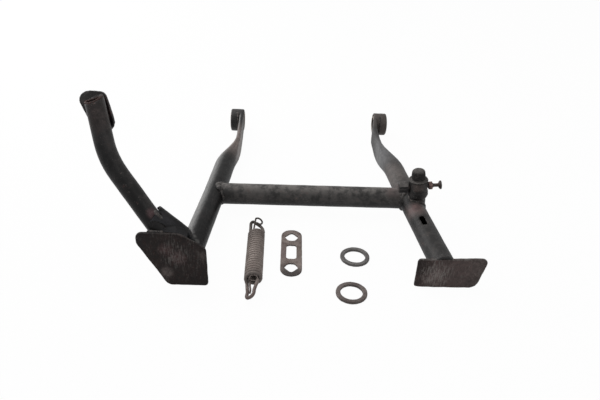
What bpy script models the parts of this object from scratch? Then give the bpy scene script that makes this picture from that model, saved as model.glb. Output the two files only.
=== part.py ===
# Motorcycle centre stand, lying on its front face with its loose return spring, link and washers.
# Metres, +Z up. The feet point to -Y, the pivot eyes to +Y, and +X is the stand's right side
# as the photograph shows it. The ground is Z = 0.

import math

import bmesh
import bpy
from mathutils import Matrix, Vector

# Place of the stand in the frame. The origin is under the middle of the whole set of pieces.
STAND_MID_X = 0.0360
CROSS_TUBE_Y = -0.0375

# Gap left between pieces that touch
FIT_GAP = 0.0003

# Legs: one round tube each, flattened at the pivot end
LEG_DIAMETER = 0.0280
LEG_WALL = 0.0025
LEG_HALF_SPACING = 0.1294
LEG_SPLAY = 0.0804
FOOT_SPLAY = 0.1020
LEG_BEND_TO_PIVOT = 0.1555
FLAT_BEND_TO_PIVOT = 0.1075
FLARE_TO_PIVOT = 0.0425
LEG_BEND_RADIUS = 0.1500
FLARE_RADIUS = 0.1000
LEG_BEND_HEIGHT = 0.0222
FLAT_INNER_HALF_SPACING = 0.1043
FLAT_THICKNESS = 0.0070
FLAT_HEIGHT = 0.0340
FLAT_LENGTH = 0.0975
FLATTENING_LENGTH = 0.0670
CREASE_DEPTH = 0.0025
CREASE_LENGTH = 0.0600
LEG_SLOT_LENGTH = 0.0190
LEG_SLOT_WIDTH = 0.0058
LEG_SLOT_FROM_CROSS_TUBE = 0.0740
LEG_SLOT_TURN = -12.0

# Cross tube
CROSS_TUBE_DIAMETER = 0.0280
CROSS_TUBE_WALL = 0.0025
CROSS_TUBE_HEIGHT = 0.0255

# Pivot eyes
PIVOT_FROM_CROSS_TUBE = 0.2475
PIVOT_INNER_HALF_SPACING = 0.1076
PIVOT_SIDE_SHIFT = 0.0031
BOSS_DIAMETER = 0.0360
BOSS_LENGTH = 0.0213
BOSS_BORE = 0.0280
BOSS_EDGE = 0.0014
BUSH_BORE = 0.0220
BUSH_STAND_OUT = 0.0006

# Foot plates: they stand upright here, with their soles towards -Y
FOOT_AXIS_HEIGHT = 0.0295
FOOT_PLATE_THICKNESS = 0.0045
FOOT_PLATE_EDGE = 0.0008
RIGHT_SOLE_FROM_CROSS_TUBE = 0.1540
RIGHT_FOOT_WIDTH = 0.0810
RIGHT_FOOT_INNER_HEIGHT = 0.0389
RIGHT_FOOT_OUTER_HEIGHT = 0.0416
RIGHT_FOOT_INBOARD = 0.0304
RIGHT_FOOT_CUT = 0.0095
RIGHT_FOOT_CURL = 0.0012
RIGHT_FOOT_CURL_WIDTH = 0.0170
LEFT_SOLE_FROM_CROSS_TUBE = 0.1600
LEFT_FOOT_WIDTH = 0.0765
LEFT_FOOT_HEIGHT = 0.0705
LEFT_FOOT_INBOARD = 0.0245
LEFT_FOOT_SOLE_WIDTH = 0.0450
LEFT_FOOT_INNER_HEIGHT = 0.0515
LEFT_FOOT_TOP_WIDTH = 0.0470
LEFT_FOOT_OUTER_HEIGHT = 0.0570

# Foot lever: a bent tube from the back of the left foot plate up to the tread
LEVER_DIAMETER = 0.0220
LEVER_WALL = 0.0025
LEVER_ROOT_OUTBOARD = 0.0193
LEVER_ROOT_FROM_SOLE = 0.0105
LEVER_ROOT_HEIGHT = 0.0546
LEVER_BEND_OUTBOARD = 0.0833
LEVER_BEND_FROM_SOLE = 0.0470
LEVER_BEND_HEIGHT = 0.1340
LEVER_BEND_RADIUS = 0.0900
LEVER_TOP_OUTBOARD = 0.1027
LEVER_TOP_FROM_SOLE = 0.0888
LEVER_TOP_HEIGHT = 0.1855
LEVER_END_SLANT = 35.0

# Tread: a dished pad on the far side of the lever's top end
TREAD_TOP_WIDTH = 0.0342
TREAD_BOTTOM_WIDTH = 0.0283
TREAD_LEFT_LENGTH = 0.0530
TREAD_RIGHT_LENGTH = 0.0465
TREAD_LEAN = 0.0100
TREAD_RIGHT_DROP = 0.0070
TREAD_LEFT_RISE = 0.0040
TREAD_CORNER = 0.0095
TREAD_THICKNESS = 0.0040
TREAD_DISH_RADIUS = 0.0300
TREAD_FROM_LEVER_END = 0.0080
TREAD_OFFSET = -0.0045
TREAD_STAND_OFF = 0.0014

# Gusset: a folded channel between the lever, the left leg and the foot plate
GUSSET_SHEET = 0.0030
GUSSET_WIDTH = 0.0170
GUSSET_FRONT_DEPTH = 0.0160
GUSSET_BACK_DEPTH = 0.0140
GUSSET_START_OUTBOARD = 0.0262
GUSSET_START_HEIGHT = 0.0920
GUSSET_END_OUTBOARD = -0.0022
GUSSET_END_HEIGHT = 0.0650
GUSSET_END_REACH = 0.0260
GUSSET_FROM_SOLE = 0.0200
GUSSET_LEAN = 0.0030

# Stop on the right leg: a tapered socket, a cupped washer and a rubber buffer
STOP_FROM_CROSS_TUBE = 0.0220
STOP_OUTBOARD = 0.0062
STOP_LEAN = 6.0
SOCKET_TOP_DIAMETER = 0.0240
SOCKET_FOOT_DIAMETER = 0.0196
SOCKET_BAND_DIAMETER = 0.0256
SOCKET_BAND_START = 0.0205
SOCKET_BAND_END = 0.0262
SOCKET_TAPER_START = 0.0150
SOCKET_WALL = 0.0030
SOCKET_LENGTH = 0.0405
CUP_WASHER_DIAMETER = 0.0250
CUP_WASHER_SHEET = 0.0016
CUP_WASHER_DISH = 0.0016
BUFFER_DIAMETER = 0.0182
BUFFER_HEAD_HEIGHT = 0.0118
BUFFER_STEM_DIAMETER = 0.0140
BUFFER_STEM_LENGTH = 0.0160
BUFFER_TOP_ROUND = 0.0040

# Anchor screw for the return spring: it crosses the socket
SCREW_ABOVE_LEG_AXIS = 0.0320
SCREW_DIAMETER = 0.0060
SCREW_NECK_DIAMETER = 0.0046
SCREW_NECK_LENGTH = 0.0062
SCREW_HEAD_DIAMETER = 0.0113
SCREW_HEAD_CONE = 0.0024
SCREW_HEAD_RIM = 0.0018
LOCK_NUT_ACROSS_FLATS = 0.0100
LOCK_NUT_HEIGHT = 0.0048
LONG_NUT_ACROSS_FLATS = 0.0140
LONG_NUT_HEIGHT = 0.0120

# Return springs: an inner coil inside an outer coil, both with drawn-out hooks
SPRING_LEFT_OF_MIDDLE = 0.0707
SPRING_NEAR_END_FROM_CROSS_TUBE = 0.1585
OUTER_SPRING_DIAMETER = 0.0212
OUTER_WIRE = 0.0040
OUTER_TURNS = 20
OUTER_PITCH = 0.0044
OUTER_NEAR_HOOK_REACH = 0.0335
OUTER_FAR_HOOK_REACH = 0.0286
OUTER_NEAR_HOOK_WIDTH = 0.0134
OUTER_FAR_HOOK_TIP_OFFSET = -0.0050
OUTER_NEAR_HOOK_LEAN = -0.0025
INNER_SPRING_DIAMETER = 0.0120
INNER_WIRE = 0.0022
INNER_TURNS = 26
INNER_PITCH = 0.0033
INNER_NEAR_HOOK_REACH = 0.0250
INNER_LOOP_LENGTH = 0.0096
INNER_LOOP_WIDTH = 0.0060
INNER_LOOP_OFFSET = 0.0022
INNER_LOOP_REACH = 0.0195
INNER_LOOP_RISE = 0.0070
INNER_LOOP_LEAN = 52.0
INNER_LOOP_TILT = 36.0
NEAR_HOOK_TURN = -35.0
OUTER_STEPS_PER_TURN = 12
INNER_STEPS_PER_TURN = 8

# Spring link plate
LINK_LEFT_OF_MIDDLE = 0.0269
LINK_FROM_CROSS_TUBE = 0.0940
LINK_LENGTH = 0.0930
LINK_WIDTH = 0.0260
LINK_THICKNESS = 0.0022
LINK_TURN = -0.9
LINK_SLOT_LENGTH = 0.0280
LINK_SLOT_WIDTH = 0.0124
LINK_EYE_LENGTH = 0.0180
LINK_EYE_WIDTH = 0.0175
LINK_EYE_MARGIN = 0.0055

# Pivot washers
WASHER_DIAMETER = 0.0360
WASHER_BORE = 0.0254
WASHER_THICKNESS = 0.0030
REAR_WASHER_FROM_CROSS_TUBE = 0.1012
REAR_WASHER_RIGHT_OF_MIDDLE = 0.0505
FRONT_WASHER_FROM_CROSS_TUBE = 0.1685
FRONT_WASHER_RIGHT_OF_MIDDLE = 0.0407

# Facets
TUBE_SIDES = 24
TURNED_SIDES = 32
CUTTER_SIDES = 48
ARC_STEPS = 5


def clear_scene():
    for thing in list(bpy.data.objects):
        bpy.data.objects.remove(thing, do_unlink=True)


def material(name, colour, roughness, metallic):
    made = bpy.data.materials.new(name)
    made.use_nodes = True
    made.diffuse_color = (*colour, 1.0)
    shader = made.node_tree.nodes["Principled BSDF"]
    shader.inputs["Base Color"].default_value = (*colour, 1.0)
    shader.inputs["Roughness"].default_value = roughness
    shader.inputs["Metallic"].default_value = metallic
    return made


def add_base(name, place, turn=(0, 0, 0)):
    """An empty that carries other pieces."""
    base = bpy.data.objects.new(name, None)
    bpy.context.scene.collection.objects.link(base)
    base.location = place
    base.rotation_euler = turn
    return base


def add_object(name, mesh_data, finish, place=(0, 0, 0), turn=(0, 0, 0), base="stand_root"):
    made = bpy.data.objects.new(name, mesh_data)
    bpy.context.scene.collection.objects.link(made)
    made.location = place
    made.rotation_euler = turn
    made.parent = bpy.data.objects[base]
    if finish is not None:
        mesh_data.materials.append(finish)
    return made


def mesh_from(name, bm):
    """Turns a closed bmesh into mesh data with smooth faces and sharp corners."""
    bmesh.ops.recalc_face_normals(bm, faces=bm.faces)
    data = bpy.data.meshes.new(name)
    bm.to_mesh(data)
    bm.free()
    data.shade_smooth()
    data.set_sharp_from_angle(angle=math.radians(35))
    return data


def add_piece(name, bm, finish, place=(0, 0, 0), turn=(0, 0, 0), base="stand_root"):
    return add_object(name, mesh_from(name, bm), finish, place, turn, base)


def cut_with(piece, cutter):
    cutter.hide_render = True
    cutter.display_type = "WIRE"
    step = piece.modifiers.new("cut_" + cutter.name, "BOOLEAN")
    step.operation = "DIFFERENCE"
    step.solver = "EXACT"
    step.object = cutter


# Outlines and profiles

def rounded_outline(corners, radii, steps=ARC_STEPS):
    """Points of a polygon in the plane with each corner replaced by an arc."""
    points = []
    count = len(corners)
    for i in range(count):
        corner = Vector(corners[i])
        before = (Vector(corners[i - 1]) - corner)
        after = (Vector(corners[(i + 1) % count]) - corner)
        radius = radii[i]
        if radius <= 0:
            points.append(corner)
            continue
        room = 0.49 * min(before.length, after.length)
        before.normalize()
        after.normalize()
        half = 0.5 * before.angle(after)
        tangent = min(radius / math.tan(half), room)
        radius = tangent * math.tan(half)
        middle = corner + (before + after).normalized() * (radius / math.sin(half))
        start = corner + before * tangent - middle
        end = corner + after * tangent - middle
        sweep = start.angle_signed(end)
        for k in range(steps + 1):
            turn = Matrix.Rotation(-sweep * k / steps, 2)
            points.append(middle + turn @ start)
    return points


def smooth_step(value):
    value = min(max(value, 0.0), 1.0)
    return value * value * (3.0 - 2.0 * value)


def stadium(width, height, sides=TUBE_SIDES):
    """A section that is round where width and height agree, and flat-sided where they don't."""
    half = sides // 2
    points = []
    for end in (1.0, -1.0):
        for k in range(half):
            angle = math.pi * (k + 0.5) / half
            across = 0.5 * width * math.cos(angle) * end
            up = end * (0.5 * (height - width) + 0.5 * width * math.sin(angle))
            points.append(Vector((across, up)))
    return points


# Paths

def filleted_path(corners, radii, steps=ARC_STEPS):
    """A path through the first and last corner, with an arc at each corner between them."""
    points = [corners[0]]
    for i in range(1, len(corners) - 1):
        corner = corners[i]
        if radii[i] <= 0:
            points.append(corner)
            continue
        back = corners[i - 1] - corner
        ahead = corners[i + 1] - corner
        half = 0.5 * back.angle(ahead)
        tangent = radii[i] / math.tan(half)
        back.normalize()
        ahead.normalize()
        middle = corner + (back + ahead).normalized() * (radii[i] / math.sin(half))
        start = (corner + back * tangent - middle).normalized()
        end = (corner + ahead * tangent - middle).normalized()
        for k in range(steps + 1):
            points.append(middle + start.slerp(end, k / steps) * radii[i])
    points.append(corners[-1])
    return points


def split_long_runs(points, longest):
    """Adds points to the straight runs of a path, so that no run is longer than longest."""
    result = [points[0]]
    for start, end in zip(points, points[1:]):
        parts = max(1, math.ceil((end - start).length / longest))
        for k in range(1, parts + 1):
            result.append(start.lerp(end, k / parts))
    return result


def path_frames(points, side_hint):
    """Point, direction, across and up vectors along a path."""
    frames = []
    last = len(points) - 1
    for i, point in enumerate(points):
        ahead = points[min(i + 1, last)] - points[max(i - 1, 0)]
        ahead.normalize()
        up = side_hint.cross(ahead)
        up.normalize()
        across = ahead.cross(up)
        frames.append((point, ahead, across, up))
    return frames


def section_ring(frame, section):
    point, _, across, up = frame
    return [point + across * p.x + up * p.y for p in section]


def slide_to_plane(ring, direction, point, normal):
    """Moves each point of a ring along direction until it lies in a plane."""
    share = direction.dot(normal)
    return [p + direction * ((point - p).dot(normal) / share) for p in ring]


# Solids

def bridge_rings(bm, first, second):
    count = len(first)
    for i in range(count):
        j = (i + 1) % count
        bm.faces.new((first[i], first[j], second[j], second[i]))


def solid_sweep(rings):
    """A closed solid through a list of rings."""
    bm = bmesh.new()
    loops = [[bm.verts.new(p) for p in ring] for ring in rings]
    for first, second in zip(loops, loops[1:]):
        bridge_rings(bm, first, second)
    bm.faces.new(loops[0])
    bm.faces.new(loops[-1])
    return bm


def hollow_sweep(outer_rings, inner_rings):
    """A tube wall between outer and inner rings, open at both ends."""
    bm = bmesh.new()
    outer = [[bm.verts.new(p) for p in ring] for ring in outer_rings]
    inner = [[bm.verts.new(p) for p in ring] for ring in inner_rings]
    for loops in (outer, inner):
        for first, second in zip(loops, loops[1:]):
            bridge_rings(bm, first, second)
    bridge_rings(bm, outer[0], inner[0])
    bridge_rings(bm, outer[-1], inner[-1])
    return bm


def turned(profile, sides=TURNED_SIDES):
    """Spins a closed profile of (radius, height) points about the Z axis."""
    bm = bmesh.new()
    verts = [bm.verts.new((radius, 0, height)) for radius, height in profile]
    edges = [bm.edges.new((verts[i - 1], verts[i])) for i in range(len(verts))]
    bmesh.ops.spin(bm, geom=verts + edges, cent=(0, 0, 0), axis=(0, 0, 1),
                   angle=2 * math.pi, steps=sides, use_merge=True)
    bmesh.ops.remove_doubles(bm, verts=bm.verts, dist=1e-6)
    axis_edges = [e for e in bm.edges if not e.link_faces]
    bmesh.ops.delete(bm, geom=axis_edges, context="EDGES")
    return bm


def ring_profile(bore, diameter, length, edge):
    """Section of a plain ring whose corners are cut by edge, standing on Z = 0."""
    inner = 0.5 * bore
    outer = 0.5 * diameter
    return [(inner, edge), (inner + edge, 0), (outer - edge, 0), (outer, edge),
            (outer, length - edge), (outer - edge, length), (inner + edge, length),
            (inner, length - edge)]


def extruded(outline, depth):
    """A plate with the outline in the XZ plane and its thickness along +Y."""
    bm = bmesh.new()
    face = bm.faces.new([bm.verts.new((p[0], 0, p[1])) for p in outline])
    pushed = bmesh.ops.extrude_face_region(bm, geom=[face])
    moved = [v for v in pushed["geom"] if isinstance(v, bmesh.types.BMVert)]
    bmesh.ops.translate(bm, verts=moved, vec=(0, depth, 0))
    return bm


def bevel_rims(bm, width):
    """Bevels the two rims of an extruded plate."""
    rims = [e for e in bm.edges
            if len(e.link_faces) == 2 and e.calc_face_angle(0) > math.radians(60)
            and abs(e.verts[0].co.y - e.verts[1].co.y) < 1e-6]
    bmesh.ops.bevel(bm, geom=rims, offset=width, segments=1, profile=0.5, affect="EDGES")


def cylinder_cutter(name, start, end, radius, sides=CUTTER_SIDES, base="stand_root"):
    axis = end - start
    bm = bmesh.new()
    place = Matrix.Translation((start + end) / 2) @ axis.to_track_quat("Z", "Y").to_matrix().to_4x4()
    bmesh.ops.create_cone(bm, cap_ends=True, segments=sides, radius1=radius, radius2=radius,
                          depth=axis.length, matrix=place)
    return add_piece(name, bm, None, base=base)


def box_cutter(name, low, high):
    bm = bmesh.new()
    size = Vector(high) - Vector(low)
    middle = (Vector(high) + Vector(low)) / 2
    bmesh.ops.create_cube(bm, size=1.0, matrix=Matrix.Translation(middle) @ Matrix.Diagonal((*size, 1)))
    return add_piece(name, bm, None)


# Places shared by several pieces

def leg_axis_x(y):
    """Half spacing of the legs' straight runs at a distance behind the cross tube."""
    return LEG_HALF_SPACING - (FOOT_SPLAY if y < 0 else LEG_SPLAY) * y


def eye_x(side, from_inner_face):
    """Place of an eye across the stand, measured outwards from its inner face."""
    return side * (PIVOT_INNER_HALF_SPACING + from_inner_face) + PIVOT_SIDE_SHIFT


def leg_axis_z(y):
    """Height of a leg's centre line between its foot and the cross tube."""
    reach = max(LEFT_SOLE_FROM_CROSS_TUBE, RIGHT_SOLE_FROM_CROSS_TUBE)
    return CROSS_TUBE_HEIGHT - (FOOT_AXIS_HEIGHT - CROSS_TUBE_HEIGHT) * y / reach


def plate_back(sole_distance):
    return FOOT_PLATE_THICKNESS - sole_distance


def leg_corners(side, foot_y):
    """Corners of a leg's centre line from its foot to its pivot."""
    flat_x = side * (FLAT_INNER_HALF_SPACING + 0.5 * FLAT_THICKNESS)
    bend_y = PIVOT_FROM_CROSS_TUBE - LEG_BEND_TO_PIVOT
    flat_bend_y = PIVOT_FROM_CROSS_TUBE - FLAT_BEND_TO_PIVOT
    flare_y = PIVOT_FROM_CROSS_TUBE - FLARE_TO_PIVOT
    pivot_z = 0.5 * BOSS_DIAMETER
    return [Vector((side * leg_axis_x(foot_y), foot_y, leg_axis_z(foot_y))),
            Vector((side * leg_axis_x(0), 0, CROSS_TUBE_HEIGHT)),
            Vector((side * leg_axis_x(bend_y), bend_y, LEG_BEND_HEIGHT)),
            Vector((flat_x, flat_bend_y, pivot_z)),
            Vector((flat_x, flare_y, pivot_z)),
            Vector((eye_x(side, 0.5 * FLAT_THICKNESS), PIVOT_FROM_CROSS_TUBE, pivot_z))]


def leg_section(y, inset, side):
    """Section of a leg at y: round, then flattened, with a crush crease on its upper side."""
    flat_start = PIVOT_FROM_CROSS_TUBE - FLAT_LENGTH
    flat = smooth_step(1.0 - (flat_start - y) / FLATTENING_LENGTH)
    width = LEG_DIAMETER + (FLAT_THICKNESS - LEG_DIAMETER) * flat
    height = LEG_DIAMETER + (FLAT_HEIGHT - LEG_DIAMETER) * flat
    section = stadium(width - 2 * inset, height - 2 * inset)
    crease_middle = flat_start - 0.4 * CREASE_LENGTH
    depth = CREASE_DEPTH * smooth_step(1.0 - abs(y - crease_middle) / (0.5 * CREASE_LENGTH))
    half = TUBE_SIDES // 2
    crease = half // 2 + 1 if side > 0 else half // 2 - 2
    for k, share in ((crease - 1, 0.35), (crease, 1.0), (crease + 1, 0.35)):
        section[k].y -= depth * share
    return section


def leg_rings(side, foot_y, inset):
    """Rings of a leg: its last ring at the foot lies flat against the foot plate."""
    bend = LEG_BEND_RADIUS
    path = filleted_path(leg_corners(side, foot_y), [0, 0, bend, bend, FLARE_RADIUS, 0], 3)
    points = path[:2] + split_long_runs(path[2:-1], FLATTENING_LENGTH / 6) + path[-1:]
    frames = path_frames(points, Vector((1, 0, 0)))
    rings = [section_ring(f, leg_section(f[0].y, inset, side)) for f in frames]
    rings[0] = slide_to_plane(rings[0], frames[0][1], Vector((0, foot_y, 0)), Vector((0, 1, 0)))
    return rings


def foot_end(side):
    """Where a leg ends, just behind its foot plate."""
    sole = RIGHT_SOLE_FROM_CROSS_TUBE if side > 0 else LEFT_SOLE_FROM_CROSS_TUBE
    return plate_back(sole) + FIT_GAP


def leg_space(name, side):
    """A cutter that leaves room for a leg, run on past its foot plate."""
    beyond = foot_end(side) - LEG_DIAMETER
    return add_piece(name, solid_sweep(leg_rings(side, beyond, -FIT_GAP)), None)


def left_foot_point(outboard, from_sole, height):
    """A place on the lever's side of the left foot, measured from the leg and the sole."""
    x = -(leg_axis_x(-LEFT_SOLE_FROM_CROSS_TUBE) + outboard)
    return Vector((x, from_sole - LEFT_SOLE_FROM_CROSS_TUBE, height))


def lever_corners():
    root = left_foot_point(LEVER_ROOT_OUTBOARD, LEVER_ROOT_FROM_SOLE, LEVER_ROOT_HEIGHT)
    bend = left_foot_point(LEVER_BEND_OUTBOARD, LEVER_BEND_FROM_SOLE, LEVER_BEND_HEIGHT)
    top = left_foot_point(LEVER_TOP_OUTBOARD, LEVER_TOP_FROM_SOLE, LEVER_TOP_HEIGHT)
    return root, bend, top


def lever_rings(radius):
    """Rings of the lever from beyond the foot plate up to its slanted end."""
    root, bend, top = lever_corners()
    start = root + (root - bend).normalized() * 2 * LEVER_DIAMETER
    frames = path_frames(filleted_path([start, bend, top], [0, LEVER_BEND_RADIUS, 0], 6), Vector((1, 0, 0)))
    rings = [section_ring(f, stadium(2 * radius, 2 * radius)) for f in frames]
    along, _, facing = tread_axes()
    slant = math.radians(LEVER_END_SLANT)
    normal = along * math.cos(slant) - facing * math.sin(slant)
    rings[-1] = slide_to_plane(rings[-1], along, top, normal)
    return rings


def tread_axes():
    """Directions of the tread: along the lever's top end, across it, and square to the pad."""
    _, bend, top = lever_corners()
    along = (top - bend).normalized()
    facing = Vector((0, 1, 0)) - along * along.y
    facing.normalize()
    return along, facing.cross(along), facing


def socket_radius(height):
    """Outer radius of the stop's socket beside a nut, at a height above the leg's centre line."""
    return 0.5 * (SOCKET_TOP_DIAMETER if height > SOCKET_BAND_END + FIT_GAP else SOCKET_BAND_DIAMETER)


# Frame pieces

def build_leg(name, side, paint):
    foot_y = foot_end(side)
    leg = add_piece(name, hollow_sweep(leg_rings(side, foot_y, 0), leg_rings(side, foot_y, LEG_WALL)), paint)
    pivot_z = 0.5 * BOSS_DIAMETER
    inner = Vector((eye_x(side, -BOSS_LENGTH), PIVOT_FROM_CROSS_TUBE, pivot_z))
    outer = Vector((eye_x(side, 2 * BOSS_LENGTH), PIVOT_FROM_CROSS_TUBE, pivot_z))
    cut_with(leg, cylinder_cutter(name + "_eye_space", inner, outer, 0.5 * BOSS_DIAMETER + FIT_GAP))
    return leg


def cut_leg_slot(leg):
    """A slot with round ends through the upper wall of the right leg."""
    y = -LEG_SLOT_FROM_CROSS_TUBE
    centre = Vector((leg_axis_x(y), y, leg_axis_z(y)))
    along = Vector((-FOOT_SPLAY, 1, 0)).normalized()
    out = Matrix.Rotation(math.radians(LEG_SLOT_TURN), 3, along) @ Vector((0, 0, 1))
    across = along.cross(out)
    half = 0.5 * LEG_SLOT_LENGTH
    wide = 0.5 * LEG_SLOT_WIDTH
    outline = rounded_outline([(-half, -wide), (half, -wide), (half, wide), (-half, wide)], [wide] * 4, 4)
    rings = []
    for height in (0.5 * LEG_DIAMETER - 2 * LEG_WALL, LEG_DIAMETER):
        rings.append([centre + along * p[0] + across * p[1] + out * height for p in outline])
    cut_with(leg, add_piece("leg_slot_space", solid_sweep(rings), None))


def build_cross_tube(paint, leg_spaces):
    ends = [Vector((side * leg_axis_x(0), 0, CROSS_TUBE_HEIGHT)) for side in (-1, 1)]
    frames = path_frames(ends, Vector((0, 0, 1)))
    diameter = CROSS_TUBE_DIAMETER
    bore = diameter - 2 * CROSS_TUBE_WALL
    outer = [section_ring(f, stadium(diameter, diameter)) for f in frames]
    inner = [section_ring(f, stadium(bore, bore)) for f in frames]
    tube = add_piece("cross_tube", hollow_sweep(outer, inner), paint)
    for space in leg_spaces:
        cut_with(tube, space)


def build_eye(word, side, steel, bronze):
    """Pivot boss and its bush, on the pivot's axis."""
    start = min(eye_x(side, 0), eye_x(side, BOSS_LENGTH))
    turn = (0, math.radians(90), 0)
    place = (start, PIVOT_FROM_CROSS_TUBE, 0.5 * BOSS_DIAMETER)
    boss = turned(ring_profile(BOSS_BORE, BOSS_DIAMETER, BOSS_LENGTH, BOSS_EDGE))
    add_piece(word + "_pivot_boss", boss, steel, place, turn)
    length = BOSS_LENGTH + 2 * BUSH_STAND_OUT
    bush = turned(ring_profile(BUSH_BORE, BOSS_BORE - 2 * FIT_GAP, length, BUSH_STAND_OUT))
    place = (start - BUSH_STAND_OUT, PIVOT_FROM_CROSS_TUBE, 0.5 * BOSS_DIAMETER)
    add_piece(word + "_pivot_bush", bush, bronze, place, turn)


def build_right_foot(steel):
    inboard = leg_axis_x(-RIGHT_SOLE_FROM_CROSS_TUBE) - RIGHT_FOOT_INBOARD
    outboard = inboard + RIGHT_FOOT_WIDTH
    corners = [(inboard, 0), (outboard - RIGHT_FOOT_CUT, 0), (outboard, RIGHT_FOOT_OUTER_HEIGHT),
               (inboard, RIGHT_FOOT_INNER_HEIGHT)]
    bm = extruded(rounded_outline(corners, [0.0015, 0.012, 0.006, 0.005]), FOOT_PLATE_THICKNESS)
    bevel_rims(bm, FOOT_PLATE_EDGE)
    for k in range(1, 5):
        place = inboard + RIGHT_FOOT_CURL_WIDTH * k / 4
        everything = bm.verts[:] + bm.edges[:] + bm.faces[:]
        bmesh.ops.bisect_plane(bm, geom=everything, plane_co=(place, 0, 0), plane_no=(1, 0, 0))
    for vert in bm.verts:
        away = max(0.0, inboard + RIGHT_FOOT_CURL_WIDTH - vert.co.x) / RIGHT_FOOT_CURL_WIDTH
        vert.co.y += RIGHT_FOOT_CURL * away * away
    add_piece("right_foot_plate", bm, steel, (0, -RIGHT_SOLE_FROM_CROSS_TUBE, 0))


def build_left_foot(steel):
    inboard = -(leg_axis_x(-LEFT_SOLE_FROM_CROSS_TUBE) - LEFT_FOOT_INBOARD)
    outboard = inboard - LEFT_FOOT_WIDTH
    corners = [(inboard, 0), (inboard - 0.001, LEFT_FOOT_INNER_HEIGHT),
               (outboard + LEFT_FOOT_TOP_WIDTH, LEFT_FOOT_HEIGHT), (outboard, LEFT_FOOT_HEIGHT),
               (outboard, LEFT_FOOT_OUTER_HEIGHT), (inboard - LEFT_FOOT_SOLE_WIDTH, 0)]
    radii = [0.004, 0.008, 0.024, 0.009, 0.012, 0.010]
    bm = extruded(rounded_outline(corners, radii), FOOT_PLATE_THICKNESS)
    bevel_rims(bm, FOOT_PLATE_EDGE)
    add_piece("left_foot_plate", bm, steel, (0, -LEFT_SOLE_FROM_CROSS_TUBE, 0))


def build_lever(paint, leg_gap, plate_gap):
    radius = 0.5 * LEVER_DIAMETER
    outer = lever_rings(radius)
    lever = add_piece("foot_lever", hollow_sweep(outer, lever_rings(radius - LEVER_WALL)), paint)
    cut_with(lever, plate_gap)
    cut_with(lever, leg_gap)


def build_tread(paint):
    """A rounded pad, dished to wrap round the far side of the lever."""
    along, across, facing = tread_axes()
    top = lever_corners()[2]
    centre = top - along * TREAD_FROM_LEVER_END + across * TREAD_OFFSET
    seat = 0.5 * LEVER_DIAMETER + TREAD_STAND_OFF
    right = 0.5 * (TREAD_LEAN + TREAD_BOTTOM_WIDTH)
    low_right = Vector((right, -0.5 * TREAD_RIGHT_LENGTH - TREAD_RIGHT_DROP))
    low_left = Vector((low_right.x - TREAD_BOTTOM_WIDTH, TREAD_LEFT_RISE - 0.5 * TREAD_LEFT_LENGTH))
    high_right = Vector((low_right.x - 0.5 * TREAD_LEAN, low_right.y + TREAD_RIGHT_LENGTH))
    high_left = Vector((high_right.x - TREAD_TOP_WIDTH, low_left.y + TREAD_LEFT_LENGTH))
    outline = rounded_outline([low_left, low_right, high_right, high_left], [TREAD_CORNER] * 4, 4)
    bm = bmesh.new()

    def lift(flat_point, layer):
        dish = TREAD_DISH_RADIUS + layer
        rise = math.sqrt(max(dish * dish - flat_point.x * flat_point.x, 0.0)) - TREAD_DISH_RADIUS
        return centre + along * flat_point.y + across * flat_point.x + facing * (seat + rise)

    sheets = []
    for layer in (0.0, TREAD_THICKNESS):
        loops = []
        for share in (1.0, 0.72, 0.4):
            loops.append([bm.verts.new(lift(p * share, layer)) for p in outline])
        middle = bm.verts.new(lift(Vector((0, 0)), layer))
        for first, second in zip(loops, loops[1:]):
            bridge_rings(bm, first, second)
        for i, vert in enumerate(loops[-1]):
            bm.faces.new((vert, loops[-1][(i + 1) % len(outline)], middle))
        sheets.append(loops[0])
    bridge_rings(bm, sheets[0], sheets[1])
    add_piece("lever_tread", bm, paint)


def gusset_profile():
    """Section of the folded channel: front flange, round fold and back flange, as one sheet."""
    half = 0.5 * GUSSET_WIDTH

    def skin(inset):
        radius = half - inset
        points = [Vector((-half - GUSSET_LEAN + inset, -GUSSET_FRONT_DEPTH))]
        for k in range(9):
            angle = math.pi * (1 - k / 8)
            points.append(Vector((radius * math.cos(angle), radius * math.sin(angle) - half)))
        points.append(Vector((half - inset, -GUSSET_BACK_DEPTH)))
        return points

    return skin(0) + skin(GUSSET_SHEET)[::-1]


def build_gusset(paint, leg_gap, plate_gap):
    start = left_foot_point(GUSSET_START_OUTBOARD, GUSSET_FROM_SOLE, GUSSET_START_HEIGHT)
    end = left_foot_point(GUSSET_END_OUTBOARD, GUSSET_FROM_SOLE, GUSSET_END_HEIGHT)
    ridge = (end - start).normalized()
    back = Vector((0, 1, 0))
    up = ridge.cross(back)
    if up.z < 0:
        up = -up
    rings = [[place + back * p.x + up * p.y for p in gusset_profile()] for place in (start, end)]
    rings[1] = slide_to_plane(rings[1], ridge, end, ridge * GUSSET_FRONT_DEPTH + up * GUSSET_END_REACH)
    gusset = add_piece("lever_gusset", solid_sweep(rings), paint)
    lever_gap = add_piece("lever_space", solid_sweep(lever_rings(0.5 * LEVER_DIAMETER + FIT_GAP)), None)
    for gap in (lever_gap, leg_gap, plate_gap):
        cut_with(gusset, gap)


# Stop and anchor screw: their places are measured from the leg's centre line, along the leaning socket

def build_stop_base():
    y = -STOP_FROM_CROSS_TUBE
    base = add_base("stop_base", (leg_axis_x(y) + STOP_OUTBOARD, y, leg_axis_z(y)),
                    (0, math.radians(-STOP_LEAN), 0))
    base.parent = bpy.data.objects["stand_root"]


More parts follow.
